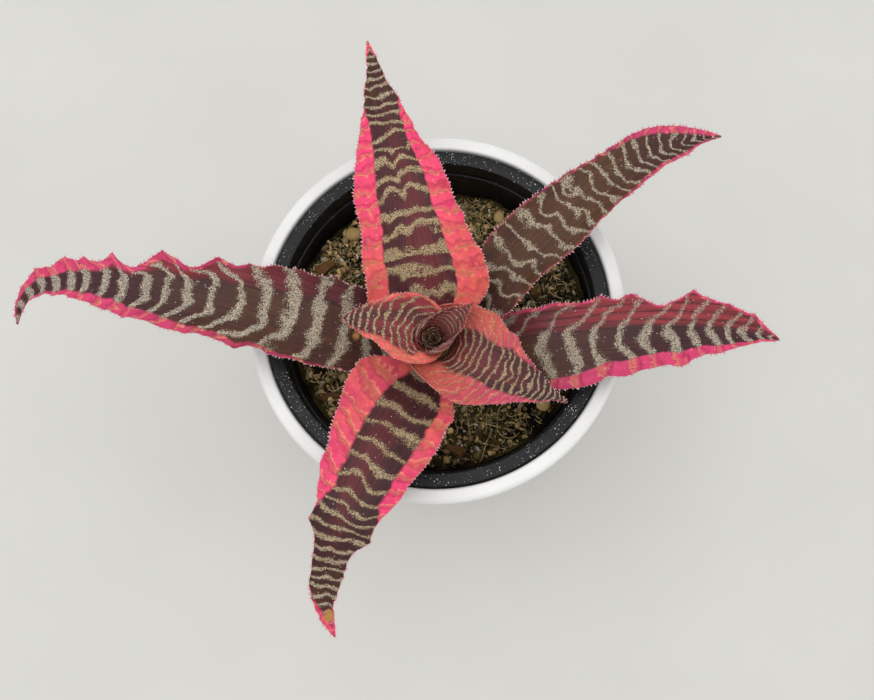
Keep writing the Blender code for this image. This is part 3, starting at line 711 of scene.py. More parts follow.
def leaf_surface(leaf, u, v, half):
    """The upper face without its relief, with each point's distance from the foot and from the midrib.

    Blade = midrib + side * across + up * lift, where an arc of width w turns through half angle a:
    across = w sinc(a/2) cos(a/2), lift = w sinc(a/2) sin(a/2). Near the stem the leaf clasps the
    stem's axis instead, at the midrib's own distance from it, and the two are blended.
    """
    points, side, up = midrib(leaf, u)
    sheath, reach = leaf["sheath"], np.abs(v)[None, :]
    before = sheath["length"] if sheath else 0.0
    distance = (u * (leaf["length"] + before) - before)[:, None]
    cup = leaf["cup"][0] + (leaf["cup"][1] - leaf["cup"][0]) * np.clip(distance / leaf["length"], 0, 1)
    half_arc = np.radians(cup) * reach / 2
    chord = half * reach * MM * np.sinc(half_arc / np.pi)
    across, lift = chord * np.cos(half_arc) * np.sign(v)[None, :], chord * np.sin(half_arc)
    blade = points[:, None, :] + side[:, None, :] * across[..., None] + up[:, None, :] * lift[..., None]
    off_axis = points[:, :2] - STEM_AXIS
    radius = np.linalg.norm(off_axis, axis=1)[:, None]
    bearing = np.arctan2(off_axis[:, 1], off_axis[:, 0])[:, None]
    lateral = v[None, :] * half
    if sheath:
        foot_wrap, mouth_wrap = np.radians(sheath["wrap"])
        wrap = foot_wrap + (mouth_wrap - foot_wrap) * np.clip(distance / before + 1, 0, 1)
        angle, tuck = v[None, :] * wrap, sheath["tuck"] * MM * reach**2.5
        opened = smooth_step((distance + 0.6) / sheath["blend"])
        lateral = lateral * opened + angle * radius / MM * (1 - opened)
    else:
        angle, tuck = lateral * MM / radius, 0.0
        opened = smooth_step((distance - 1.0) / 9.0)
    height = points[:, 2:3] - tuck + 0.4 * lift
    turned_to = bearing + angle
    x, y = STEM_AXIS[0] + radius * np.cos(turned_to), STEM_AXIS[1] + radius * np.sin(turned_to)
    clasp = np.stack([x, y, height + 0 * angle], -1)
    return clasp + (blade - clasp) * opened[..., None], distance, lateral


def scurf_bands(look, size, uu, v_row, distance, lateral, seed):
    """The scurf bands at every point: their phase, whole at each band's middle, and their duty.

    Phase = sum of 1 / spacing up to distance + bow v^2 - chevron bend(v) - skew v + wander.
    """
    reach, kink = np.abs(v_row), look["kink"]
    bend = (np.sqrt(np.maximum(reach - kink, 0.0) ** 2 + 0.004) - 0.063) / (1 - kink)
    height, cell = look["wobble"]
    wander = drift(lateral, distance, cell, seed + 4)
    wander = np.where(look["arched"], 0.4 - 1.6 * np.abs(wander), wander)
    wander = height * wander * (1 - 0.6 * smooth_step((uu - 0.55) * 4))
    wander = wander + 0.25 * height * drift(lateral, distance, cell * 0.4, seed + 5)
    chevron = np.where(v_row > 0, stations(look["chevron_left"], uu), stations(look["chevron_right"], uu))
    bow = stations(look["bow"], uu) * v_row**2 * smooth_step(distance / 6 + 0.5)
    placed = distance + bow - chevron * bend - stations(look["skew"], uu) * v_row + wander
    fine = np.linspace(-0.8, 1.2, 1000)
    counts = np.concatenate([[0.0], np.cumsum(np.diff(fine) * size / stations(look["spacing"], fine[1:]))])
    duty = stations(look["duty"], uu) * (1 + look["tilt"] * v_row) * (1 - look["taper"] * bend)
    duty = duty * (1 + 0.25 * drift(lateral, distance, 3.0, seed + 6))
    return np.interp(placed / size, fine, counts), duty


def leaf_piece(name, seed, material, settings):
    """One leaf: its upper face with ripples, grooves and raised scurf bands, its underside and its spines."""
    leaf, look = {**PLAIN_LEAF, **LEAVES[name]}, {**PLAIN_LOOK, **LOOKS[name]}
    size = leaf["length"]
    before = leaf["sheath"]["length"] if leaf["sheath"] else 0.0
    rows = max(int((size + before) / settings.row_step / 1000), 90)
    u = np.linspace(0.0, 1.0, rows + 1)
    t = np.linspace(-1.0, 1.0, settings.columns + 1)
    v = np.sign(t) * (1 - (1 - np.abs(t)) ** 1.35)
    reach, v_row = np.abs(v)[None, :], v[None, :]
    uu = np.clip((u * (size + before) - before) / size, 0.0, 1.0)[:, None]
    left = half_widths(leaf, uu[:, 0], "left", seed)[:, None]
    right = half_widths(leaf, uu[:, 0], "right", seed + 50)[:, None]
    half = np.where(v_row > 0, left, right)
    surface, distance, lateral = leaf_surface(leaf, u, v, half)
    normal = unit(np.cross(np.gradient(surface, axis=0), np.gradient(surface, axis=1)))
    normal *= np.sign(normal[rows // 2, settings.columns // 2, 2])

    # Relief: waves towards the margins, lengthwise grooves where the skin is red, and proud bands.
    ripple = settings.ripple * min(1.0, size / 60) * smooth_step((1 - uu) * 8) * smooth_step(uu * 6)
    wave = np.where(v_row > 0, drift(distance, 3.0, 6.0, seed + 2), drift(distance, 31.0, 6.0, seed + 2))
    rise = ripple * reach**2.5 * wave
    rise = rise + 0.25 * MM * drift(lateral, distance, 9.0, seed + 3) * smooth_step(uu * 9)
    red = stations(look["flush_left"], uu) * smooth_step(v_row * 3.2)
    red = red + stations(look["flush_right"], uu) * smooth_step((-v_row - 0.35) * 3)
    groove = np.maximum(0.0, np.cos(lateral * 2 * np.pi / GROOVE_PITCH)) ** 3
    groove = groove * smooth_step(2 * red) * (v_row > 0)
    phase, duty = scurf_bands(look, size, uu, v_row, distance, lateral, seed)
    proud = settings.scurf_height * smooth_step((duty - 2 * np.abs(phase - np.round(phase))) / 0.2 + 0.5)
    surface = surface + normal * (rise + proud - 0.3 * MM * groove)[..., None]
    thickness = settings.margin + (settings.thickness - settings.margin) * (1 - reach**3) * min(1.0, size / 50)
    thickness = thickness * (1 - 0.65 * smooth_step((uu - 0.6) * 2.5))
    thickness = thickness * (0.5 + 0.5 * smooth_step(u[:, None] * 12))
    bottom = surface - normal * thickness[..., None]

    # Colour: pink outside the panel, red or olive inside it, and dry spots.
    panel = np.where(v_row > 0, stations(look["panel_left"], uu), stations(look["panel_right"], uu))
    pinkness = np.clip(0.5 + (reach - panel) * half / look["soft"], -1.0, 2.0)
    flush = stations(look["flush_middle"], uu) * np.exp(-((v_row / 0.3) ** 2))
    flush = np.maximum(red * (1 - 0.9 * groove), flush)
    hue = np.where(flush > 0.05, -flush, stations(look["olive"], uu))
    flat = np.zeros_like(pinkness)
    dry = flat
    for place, over, radius in look["spots"]:
        away = np.hypot(distance - place * size, lateral - over * half)
        dry = np.maximum(dry, smooth_step(1.5 - away / radius))
    strength = stations(look["strength"], uu) * (1 - look["fade_left"] * smooth_step(v_row * 3))
    layers = {
        "band": (phase, duty, strength),
        "tint": (pinkness, stations(look["warmth"], uu), hue),
        "coat": (flat, stations(look["ash"], uu), dry),
        "along": (lateral * MM, distance * MM, stations(look["magenta"], uu)),
        "cross": (look["thin"], flat, flat),
    }
    layers = {
        label: np.stack([flat + value for value in values], -1).reshape(-1, 3)
        for label, values in layers.items()
    }
    under = {label: values.copy() for label, values in layers.items()}
    under["coat"][:, 0] = 1.0 if size > YOUNG_LEAF else 0.25
    points, triangles = slab(surface, bottom)
    both = {label: np.concatenate([layers[label], under[label]]) for label in layers}
    parts = [(points, facing_out(points, triangles), both)]
    for column, beside in ((0, 2), (-1, -3)):
        edge = (surface[:, column] + bottom[:, column]) / 2
        middle = (surface[:, beside] + bottom[:, beside]) / 2
        scale = min(1.0, max(size / 60, 0.55))
        over = normal[:, column]
        corners, spines, share = margin_spines(middle, edge, over, seed + 7 + column, scale, settings)
        ones = np.ones_like(share)
        place = np.clip((share * (size + before) - before) / size, 0, 1)
        pale = np.tile([0.1, 0.1, 0.1, 0.1, 0.9], len(share) // 5)[:, None]
        parts.append((corners, spines, {
            "band": ones * (0.5, 0.0, 0.0), "coat": ones * (0.0, 0.0, 0.0), "cross": pale * (0.0, 1.0, 0.0),
            "tint": np.hstack([1.6 * ones, stations(look["warmth"], place), 0 * ones]),
            "along": np.hstack([0 * ones, 0 * ones, stations(look["magenta"], place)]),
        }))
    starts = np.cumsum([0] + [len(part[0]) for part in parts])
    triangles = np.concatenate([part[1] + start for part, start in zip(parts, starts)])
    layers = {label: np.concatenate([part[2][label] for part in parts]) for label in layers}
    points = np.concatenate([part[0] for part in parts])
    return add_piece(name + "_blade", points, triangles, material, [name], layers)


def whorl_piece(name, seed, material):
    """A young leaf rolled round the stem's axis: a cone on a spiral, lower and thinner at its margins."""
    design = WHORL[name]
    u = np.linspace(0.0, 1.0, 29)[:, None]
    v = np.linspace(-1.0, 1.0, 121)[None, :]
    stem_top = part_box("stem")[1].z + 0.3 * MM
    angle = np.radians(design["angle"] + WHORL_WRAP * v)
    radius = (design["foot"] + (design["lip"] - design["foot"]) * u**1.3) * (1 + WHORL_SPIRAL * v) * MM
    radius = radius + 0.12 * MM * u * drift(angle * 3, u * 3, 1.0, seed)
    height = design["height"] * MM * u * (1 - WHORL_MARGIN_DROP * v**2)
    thick = (0.4 - 0.2 * u) * MM
    shells = []
    for offset in (0.0, 1.0):
        rad = radius - offset * thick
        shells.append(np.stack([
            STEM_AXIS[0] + rad * np.cos(angle), STEM_AXIS[1] + rad * np.sin(angle),
            stem_top + height + 0.0 * rad,
        ], axis=-1))
    points, triangles = slab(shells[0], shells[1])
    flat = 0 * u * v
    phase = height / MM / 1.1 + 0.25 * drift(angle * 6, height / MM, 2.0, seed)
    pinkness = 0.5 + (np.abs(v) - 1.15 + 0.2 * u) * 4
    # Dark skin, little pink, thin scurf and a dulled pink (along's 1.8): partly the young leaves' own colour,
    # partly painted shade of the rosette's hollow.
    shades = {
        "band": np.stack([phase + flat, 0.3 + flat, 0.35 + 0.2 * u + flat], -1),
        "tint": np.stack([pinkness + flat, 0.8 + flat, 1.1 - 0.5 * u + flat], -1),
        "coat": np.stack([flat, 0.2 + flat, flat], -1),
        "along": np.stack([v * 5 * MM + flat, height + flat, 1.8 + flat], -1),
        "cross": np.stack([0.8 + flat, flat, flat], -1),
    }
    layers = {label: np.tile(values.reshape(-1, 3), (2, 1)) for label, values in shades.items()}
    return add_piece(name + "_rolled", points, triangles, material, [name], layers)


# ---------------------------------------------------------------- pots, mix and stem


def straight(start, end, steps, first=1):
    """Points on a straight line cut into steps, from the first one wanted to the last but one."""
    return [tuple(a + (b - a) * k / steps for a, b in zip(start, end)) for k in range(first, steps)]


def pot_profile():
    """The cover pot from the middle of its floor, up its bore, over the rolled rim and down to its foot."""
    rim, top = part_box("outer_pot")[1].x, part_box("outer_pot")[1].z
    body, bore, floor = rim - LIP_OVERHANG, rim - POT_RIM_WIDTH, POT_FLOOR
    floor_radius = POT_BASE_RADIUS + floor / top * (body - POT_BASE_RADIUS) - POT_WALL
    profile = [(0.3 * floor_radius, floor), (0.8 * floor_radius, floor)]
    profile += arc((floor_radius - 3 * MM, floor + 3 * MM), 3 * MM, -90, -4, 8)
    profile += straight((floor_radius, floor), (bore, top), 12, 2)
    profile += arc((bore + 0.9 * MM, top - 0.9 * MM), 0.9 * MM, 180, 90, 6)
    profile += arc((rim - 1.8 * MM, top - 1.8 * MM), 1.8 * MM, 90, 0, 10)
    profile += arc((rim - 0.9 * MM, top - 3.1 * MM), 0.9 * MM, 0, -90, 5)
    profile += arc((body + 0.7 * MM, top - 4.7 * MM), 0.7 * MM, 90, 180, 4)
    profile += straight((body, top - LIP_HEIGHT), (POT_BASE_RADIUS, POT_FOOT), 20)
    profile += arc((POT_BASE_RADIUS - POT_FOOT, POT_FOOT), POT_FOOT, 0, -90, 6)
    return profile + [(30 * MM, 0.0), (10 * MM, 0.0)]


def growing_pot_profile():
    """The growing pot from the middle of its floor, up to a step, over its flat rim and down its skirt."""
    low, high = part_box("nursery_pot")
    rim, top, floor = high.x, high.z, low.z
    throat, step = rim - GROWING_RIM_WIDTH, top - STEP_DEPTH
    wall = throat - STEP_WIDTH
    at_floor, skirt = wall - GROWING_TAPER, rim - 1.1 * MM
    inner_floor, below_step = floor + GROWING_WALL, step - GROWING_WALL
    profile = [(12 * MM, inner_floor), (at_floor - 2 * MM, inner_floor)]
    profile += arc((at_floor - 2 * MM, floor + 3 * MM), 2 * MM, -90, -5, 4)
    profile += straight((at_floor, inner_floor), (wall, below_step), 12) + [(wall, below_step)]
    profile += arc((wall + 0.45 * MM, step - 0.45 * MM), 0.45 * MM, 180, 90, 3)
    profile += arc((throat - 0.3 * MM, step + 0.3 * MM), 0.3 * MM, -90, 0, 3)
    profile += straight((throat, step), (throat, top), 6)
    profile += arc((throat + 0.6 * MM, top - 0.6 * MM), 0.6 * MM, 180, 90, 4)
    profile += arc((rim - 0.8 * MM, top - 0.8 * MM), 0.8 * MM, 90, 0, 5)
    outer, under_rim = throat + GROWING_WALL, top - 1.2 * MM
    return profile + [
        (skirt, top - SKIRT_DEPTH), (skirt - GROWING_WALL, top - SKIRT_DEPTH), (rim - 1.4 * MM, under_rim),
        (outer, under_rim), (outer, below_step), (wall + 0.6 * MM, step - 1.6 * MM),
        (at_floor + GROWING_WALL, floor + 0.6 * MM), (at_floor, floor), (12 * MM, floor),
    ]


def mix_bank(x, y):
    """How far the mix is banked up against the left and right of the pot's wall: height cos^2(compass)."""
    away = np.hypot(x, y)
    across = np.abs(x) / np.maximum(away, MM)
    bank = bpy.context.scene.bromeliad_mix.bank
    return bank * across**2 * smooth_step((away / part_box("potting_mix")[1].x - 0.45) / 0.5)


def mix_height(x, y):
    """Height of the mix at a place: its level, its bank and three sizes of lump, lower at the wall."""
    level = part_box("potting_mix")[1].z
    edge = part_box("potting_mix")[1].x
    relief = bpy.context.scene.bromeliad_mix.relief
    lumps = 0.6 * drift(x, y, 9 * MM, 71) + 0.45 * drift(x, y, 4 * MM, 72) + 0.3 * drift(x, y, 1.7 * MM, 73)
    near_wall = smooth_step((np.hypot(x, y) / edge - 0.9) * 10)
    return level + mix_bank(x, y) + relief * (lumps - 0.35 - 0.5 * near_wall)


def scatter(count, seed):
    """Places spread evenly over the mix's disc, kept off the stem."""
    rng = np.random.default_rng(seed)
    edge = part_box("potting_mix")[1].x - LITTER_MARGIN
    radius = edge * np.sqrt(rng.uniform(0.0, 1.0, count))
    angle = rng.uniform(0, 2 * np.pi, count)
    x, y = radius * np.cos(angle), radius * np.sin(angle)
    keep = np.hypot(x - STEM_AXIS[0], y - STEM_AXIS[1]) > STEM_RADIUS + 0.5 * MM
    return x[keep], y[keep], rng


def painted_light_back_left(x, y):
    """Painted light on the mix's litter, from 0 at the front right to 1 at the back left: the litter is painted
    paler there to make up for the shade that the leaves cast.
    """
    return smooth_step(0.65 + 0.6 * (y - x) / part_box("potting_mix")[1].x)


def lumps(x, y, z, sizes, rng, rows=3, columns=5):
    """Small uneven bodies: rings of a squashed ball, each corner pushed in or out, turned at random."""
    count = len(x)
    lat = np.linspace(-0.9, 0.9, rows)[None, :, None]
    lon = np.linspace(0, 2 * np.pi, columns, endpoint=False)[None, None, :]
    worn = rng.uniform(0.7, 1.2, (count, rows, columns))
    girth = np.sqrt(1 - lat**2) * worn
    tall = lat * worn * rng.uniform(0.5, 1.0, (count, 1, 1))
    local = np.stack([girth * np.cos(lon), girth * np.sin(lon), tall], -1)
    local = local * rng.uniform(0.4, 1.5, (count, 1, 1, 3)) * sizes[:, None, None, None] / 2
    turn, tip = rng.uniform(0, 2 * np.pi, count), rng.uniform(-0.9, 0.9, count)
    c, s, ct, st = np.cos(turn), np.sin(turn), np.cos(tip), np.sin(tip)
    spin = np.stack([np.stack([c, -s * ct, s * st], -1), np.stack([s, c * ct, -c * st], -1),
                     np.stack([0 * c, st, ct], -1)], 1)
    return np.einsum("nij,nrcj->nrci", spin, local) + np.stack([x, y, z], -1)[:, None, None, :]


def shade_layer(rings, values, greens):
    """One shade and one greenness for each body, spread to its rings and its two poles."""
    per_body = np.stack([values, greens, 0 * values], -1)
    body = np.repeat(per_body, rings.shape[1] * rings.shape[2], axis=0)
    return {"shade": np.concatenate([body, per_body, per_body])}


def strands(x, y, z, long, thick, rng, rows=5, columns=3, arch=0.35):
    """Fibres: a short arc that rises and bends aside, carried by a small ring that thins at both ends."""
    count = len(x)
    t = np.linspace(-0.5, 0.5, rows)[None, :]
    turn = rng.uniform(0, 2 * np.pi, count)[:, None]
    curl = rng.normal(0, 0.9, count)[:, None] * t
    step = long[:, None] * t
    px = x[:, None] + step * np.cos(turn + curl)
    py = y[:, None] + step * np.sin(turn + curl)
    pz = z[:, None] + long[:, None] * arch * rng.uniform(0, 1, count)[:, None] * (1 - 4 * t**2)
    pz = pz + step * rng.uniform(-0.3, 0.3, count)[:, None]
    spine = np.stack([px, py, pz], -1)
    ahead = unit(np.gradient(spine, axis=1))
    side = unit(np.cross(ahead, np.array((0.0, 0.0, 1.0)) + 0.1 * ahead[..., ::-1]))
    up = np.cross(side, ahead)
    lon = np.linspace(0, 2 * np.pi, columns, endpoint=False)
    girth = (thick[:, None] / 2 * np.sqrt(np.maximum(1 - (1.8 * t) ** 2, 0.08)))[..., None, None]
    cosine, sine = np.cos(lon)[None, None, :, None], np.sin(lon)[None, None, :, None]
    ring = cosine * side[:, :, None, :] + sine * up[:, :, None, :]
    return spine[:, :, None, :] + girth * ring


def loose_piece(name, kind, turn, seed, material):
    """A pebble as a worn ball, or a bark chip as a split slab: one ring per latitude, sized by its CAD node.

    Each coordinate c of the ball becomes sign(c) |c|^power, which squares it off as power falls.
    """
    low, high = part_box(name)
    centre, size = (low + high) / 2, high - low
    centre.z += mix_bank(centre.x, centre.y)
    lat = np.linspace(-0.5 * np.pi, 0.5 * np.pi, LOOSE_ROWS + 2)[1:-1][:, None]
    lon = np.linspace(0, 2 * np.pi, LOOSE_COLUMNS, endpoint=False)[None, :]
    cx, cy, cz = np.cos(lat) * np.cos(lon), np.cos(lat) * np.sin(lon), np.sin(lat) + 0 * lon
    power, rough = (0.9, 0.07) if kind == "pebble" else (0.42, 0.16)
    square = [np.sign(c) * np.abs(c) ** power for c in (cx, cy, cz)]
    worn = 1 - rough + rough * drift(cx * 4 + seed, cy * 4 + cz * 3, 1.0, seed)
    worn = worn * (1 - 0.3 * rough + 0.3 * rough * drift(cx * 12, cy * 12 + cz * 9, 1.0, seed + 9))
    if kind == "pebble":
        px, py = square[0] * size.x / 2 * worn, square[1] * size.y / 2 * worn
    else:
        # The chip's own length and width, from the box that it fills once it is turned.
        angle = math.radians(turn)
        c, s = abs(math.cos(angle)), abs(math.sin(angle))
        long = max((size.x * c - size.y * s) / (c * c - s * s) / 2, LEAST_CHIP)
        wide = max((size.y * c - size.x * s) / (c * c - s * s) / 2, LEAST_CHIP)
        lx, ly = square[0] * long * worn, square[1] * wide * worn * (1 - 0.3 * square[0])
        px = lx * math.cos(angle) - ly * math.sin(angle)
        py = lx * math.sin(angle) + ly * math.cos(angle)
    rings = np.stack([px + centre.x, py + centre.y, square[2] * size.z / 2 * worn + centre.z], -1)[None]
    points, triangles = skin(rings)
    layers = shade_layer(rings, np.array([0.45 + 0.2 * math.sin(seed)]), np.array([0.0]))
    return add_piece(name + "_worn", points, triangles, material, [name], layers, sharp=50)


# ---------------------------------------------------------------- settings


def colour(name, code, description):
    return bpy.props.FloatVectorProperty(
        name=name, description=description, default=srgb(code), size=4, min=0, max=1, subtype="COLOR"
    )


def length(name, value, description):
    return bpy.props.FloatProperty(
        name=name, description=description, default=value * MM, unit="LENGTH", subtype="DISTANCE", precision=5
    )


class BromeliadLeaves(bpy.types.PropertyGroup):
    thickness: length("Thickness", 1.1, "Thickness of a blade at its midrib")
    margin: length("Margin", 0.32, "Thickness of a blade at its margins")
    ripple: length("Ripple", 1.1, "Height of the waves along the margins")
    scurf_height: length("Scurf height", 0.14, "How far the scurf bands stand proud")
    spine_pitch: length("Spine pitch", 1.3, "Distance between marginal spines")
    spine_length: length("Spine length", 0.85, "Length of a marginal spine")
    row_step: length("Row step", 0.42, "Length of blade between two rows of the mesh")
    columns: bpy.props.IntProperty(name="Columns", description="Cells across a blade", default=40, min=8)
    hot_pink: colour("Hot pink", "EE4372", "Margins of the upper leaves")
    magenta: colour("Magenta", "CC3C68", "Margins of the lower leaves")
    coral: colour("Coral", "EE6A5E", "Margins near the stem")
    maroon: colour("Maroon", "3C1B1D", "Skin between the bands")
    olive: colour("Olive brown", "4E2E18", "Skin in its green patches")
    flush: colour("Red flush", "8A2E34", "Skin where it turns red")
    scurf_tan: colour("Tan scurf", "A48E6A", "Scurf on the upper leaves")
    scurf_ash: colour("Ash scurf", "ABA091", "Scurf on the lower leaves")
    scurf_on_pink: colour("Orange scurf", "F2AA74", "Scurf where it crosses the pink")
    spine: colour("Spine tip", "FAD0D2", "Points of the marginal spines")
    dry: colour("Dry spot", "BC8A4A", "Dried tissue")


class BromeliadPots(bpy.types.PropertyGroup):
    steps: bpy.props.IntProperty(name="Steps", description="Sides of each turned pot", default=192, min=24)
    glaze: colour("Glaze", "E9E8E4", "Cover pot")
    glaze_shade: colour("Glaze shade", "DEDCD7", "Cloudier glaze")
    plastic: colour("Plastic", "0B0C0D", "Growing pot")
    film: colour("Water film", "343534", "Dried feed water on the plastic")


class BromeliadMix(bpy.types.PropertyGroup):
    relief: length("Relief", 3.4, "Height of the mix's lumps")
    bank: length("Bank", 9.0, "How far the mix is banked up at the left and right")
    crumbs: bpy.props.IntProperty(name="Crumbs", description="Crumbs on the mix", default=6400, min=0)
    fibres: bpy.props.IntProperty(name="Fibres", description="Moss fibres on the mix", default=7600, min=0)
    grit: bpy.props.IntProperty(name="Grit", description="Pale grains on the mix", default=320, min=0)
    straws: bpy.props.IntProperty(name="Straws", description="Long dry strands", default=80, min=0)


class BromeliadStage(bpy.types.PropertyGroup):
    floor_radius: length("Floor radius", 1500, "Radius of the floor")
    floor: colour("Floor", "CECCC5", "Plain pale floor")
    key_power: bpy.props.FloatProperty(name="Key light", description="Watts", default=5.0, min=0, unit="POWER")
    fill_power: bpy.props.FloatProperty(name="Fill light", description="Watts", default=3.0, min=0, unit="POWER")
    sky: bpy.props.FloatProperty(name="Room light", description="Even light", default=0.8, min=0)


SETTINGS = {
    "bromeliad_leaves": BromeliadLeaves, "bromeliad_pots": BromeliadPots,
    "bromeliad_mix": BromeliadMix, "bromeliad_stage": BromeliadStage,
}


# ---------------------------------------------------------------- operators


class BROMELIAD_OT_cover_pot(bpy.types.Operator):
    """Turns the white ceramic cover pot."""

    bl_idname = "bromeliad.cover_pot"
    bl_label = "Cover pot"

    def execute(self, context):
        rings = turned(pot_profile(), context.scene.bromeliad_pots.steps)
        points, triangles = skin(rings)
        add_piece(
            "cover_pot_glazed", points, triangles, glazed_ceramic(),
            ["outer_pot"], sharp=60,
        )
        return {"FINISHED"}


class BROMELIAD_OT_growing_pot(bpy.types.Operator):
    """Turns the black growing pot and scatters grains on its rim."""

    bl_idname = "bromeliad.growing_pot"
    bl_label = "Growing pot"

    def execute(self, context):
        steps = context.scene.bromeliad_pots.steps
        points, triangles = skin(turned(growing_pot_profile(), steps))
        material = moulded_plastic()
        add_piece(
            "growing_pot_moulded", points, triangles, material,
            ["nursery_pot"], sharp=60,
        )
        rng = np.random.default_rng(31)
        rim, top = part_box("nursery_pot")[1].x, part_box("nursery_pot")[1].z
        count = 1700
        angle = rng.uniform(0, 2 * np.pi, count)
        crowd = drift(angle * 20, 0, 1.0, 5) + 0.6 * drift(angle * 60, 3, 1.0, 6)
        angle = angle[crowd > rng.uniform(-0.9, 0.9, count)]
        radius = rim - rng.uniform(0.5, 4.6, len(angle)) * MM
        z = np.full(len(angle), top)
        sizes = rng.uniform(0.4, 1.0, len(angle)) ** 2 * 0.75 * MM
        rings = lumps(radius * np.cos(angle), radius * np.sin(angle), z, sizes, rng, 2, 4)
        points, triangles = skin(rings)
        layers = shade_layer(rings, rng.uniform(0.2, 1.0, len(angle)), np.zeros(len(angle)))
        add_piece(
            "rim_grains", points, triangles, crumbly("perlite_dust", "B5B2AC", "F4F2EE", 0.3),
            ["nursery_pot"], layers,
        )
        return {"FINISHED"}


class BROMELIAD_OT_potting_mix(bpy.types.Operator):
    """Lays the peat's lumpy surface and strews it with crumbs, moss fibres, grit and straws."""

    bl_idname = "bromeliad.potting_mix"
    bl_label = "Potting mix"

    def execute(self, context):
        settings = context.scene.bromeliad_mix
        low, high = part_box("potting_mix")
        across = np.linspace(0.01, 1.0, 105) * (high.x - 0.05 * MM)
        depth = np.linspace(1.0, 0.0, 12)[1:]
        bottom_radius = high.x - MIX_TAPER
        profile = [(r, 0.0) for r in across]
        profile += [(bottom_radius + (high.x - bottom_radius) * d, low.z + (high.z - low.z) * d) for d in depth]
        profile += [(bottom_radius * 0.6, low.z), (bottom_radius * 0.2, low.z)]
        rings = turned(profile, 330)
        x, y = rings[0, : len(across), :, 0], rings[0, : len(across), :, 1]
        rings[0, : len(across), :, 2] = mix_height(x, y)
        wider = 1 + WALL_TAPER * mix_bank(x, y) * np.hypot(x, y) / high.x**2
        rings[0, : len(across), :, :2] *= wider[..., None]
        last, wall = rings[0, len(across) - 1], rings[0, len(across)]
        wall[:, 2] = np.minimum(wall[:, 2], last[:, 2] - MM)
        points, triangles = skin(rings)
        shade = 0.35 + 0.3 * drift(points[:, 0], points[:, 1], 6 * MM, 74)
        green = np.clip(0.5 * drift(points[:, 0], points[:, 1], 14 * MM, 75), 0, 1)
        layers = {"shade": np.stack([shade, green, 0 * shade], -1)}
        peat = crumbly("peat", "090704", "5E4A26", 0.9, depth=0.6, reach=(0.6, 1.2))
        add_piece("peat_surface", points, triangles, peat, ["potting_mix"], layers)

        x, y, rng = scatter(settings.crumbs, 41)
        sizes = rng.uniform(0.4, 1.0, len(x)) ** 3.0 * 3.2 * MM
        rings = lumps(x, y, mix_height(x, y) + 0.2 * sizes, sizes, rng)
        mossy = drift(x, y, 11 * MM, 76)
        # Crumbs: a random tone, painted paler towards the back left as painted light.
        pale = rng.beta(0.5, 1.3, len(x)) + 0.55 * painted_light_back_left(x, y) * rng.uniform(0, 1, len(x))
        self.strew("peat_crumbs", rings, pale, np.clip(mossy, 0, 0.7) * rng.uniform(0, 1, len(x)),
                   crumbly("peat_crumb", "110C06", "E2BE84", 0.6, reach=(0.45, 1.3)))

        x, y, rng = scatter(settings.fibres, 42)
        keep = drift(x, y, 8 * MM, 77) + rng.uniform(-0.6, 0.6, len(x)) > -0.22
        x, y = x[keep], y[keep]
        long = rng.uniform(1.1, 4.2, len(x)) * MM
        rings = strands(x, y, mix_height(x, y) + 0.3 * MM, long, rng.uniform(0.16, 0.38, len(x)) * MM, rng)
        # Fibres: a random tone, painted paler towards the back left as painted light.
        pale = rng.beta(0.7, 1.1, len(x)) + 0.4 * painted_light_back_left(x, y)
        self.strew("moss_fibres", rings, pale, rng.uniform(0, 0.75, len(x)) ** 1.5,
                   crumbly("sphagnum_fibre", "2A1E0C", "FCE2AC", 0.5, reach=(0.3, 1.3)))

        x, y, rng = scatter(settings.grit, 43)
        sizes = rng.uniform(0.35, 1.0, len(x)) ** 2 * 2.6 * MM
        rings = lumps(x, y, mix_height(x, y) + 0.45 * sizes, sizes, rng, 4, 7)
        self.strew("pale_grit", rings, rng.uniform(0.0, 1.0, len(x)), np.zeros(len(x)),
                   crumbly("perlite_and_grit", "8A744E", "ECE4D4", 0.5))

        x, y, rng = scatter(settings.straws, 44)
        long = rng.uniform(7, 17, len(x)) * MM
        thick = rng.uniform(0.3, 0.6, len(x)) * MM
        rings = strands(x, y, mix_height(x, y) + 1.0 * MM, long, thick, rng, 10, 5, 0.12)
        self.strew("dry_straws", rings, rng.uniform(0.3, 1.0, len(x)), np.zeros(len(x)),
                   crumbly("dry_straw", "4A341C", "CDB27C", 0.5))
        return {"FINISHED"}

    def strew(self, name, rings, values, greens, material):
        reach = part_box("potting_mix")[1].x - 0.4 * MM
        flat = np.hypot(rings[..., 0], rings[..., 1])
        pull = np.minimum(1.0, reach / np.maximum(flat, 1e-9))[..., None]
        rings = rings * np.concatenate([pull, pull, np.ones_like(pull)], -1)
        points, triangles = skin(rings)
        layers = shade_layer(rings, values, greens)
        add_piece(name, points, triangles, material, ["potting_mix"], layers)


class BROMELIAD_OT_loose_pieces(bpy.types.Operator):
    """Shapes the pebbles and bark chips that lie on the mix."""

    bl_idname = "bromeliad.loose_pieces"
    bl_label = "Pebbles and bark chips"

    def execute(self, context):
        stone = crumbly("river_pebble", "866838", "CFB078", 0.7, roughness=0.7, depth=0.12)
        bark = crumbly("pine_bark", "2C1B10", "8A6038", 0.9, depth=0.4)
        for seed, (name, (kind, turn)) in enumerate(LOOSE.items()):
            loose_piece(name, kind, turn, seed, stone if kind == "pebble" else bark)
        return {"FINISHED"}


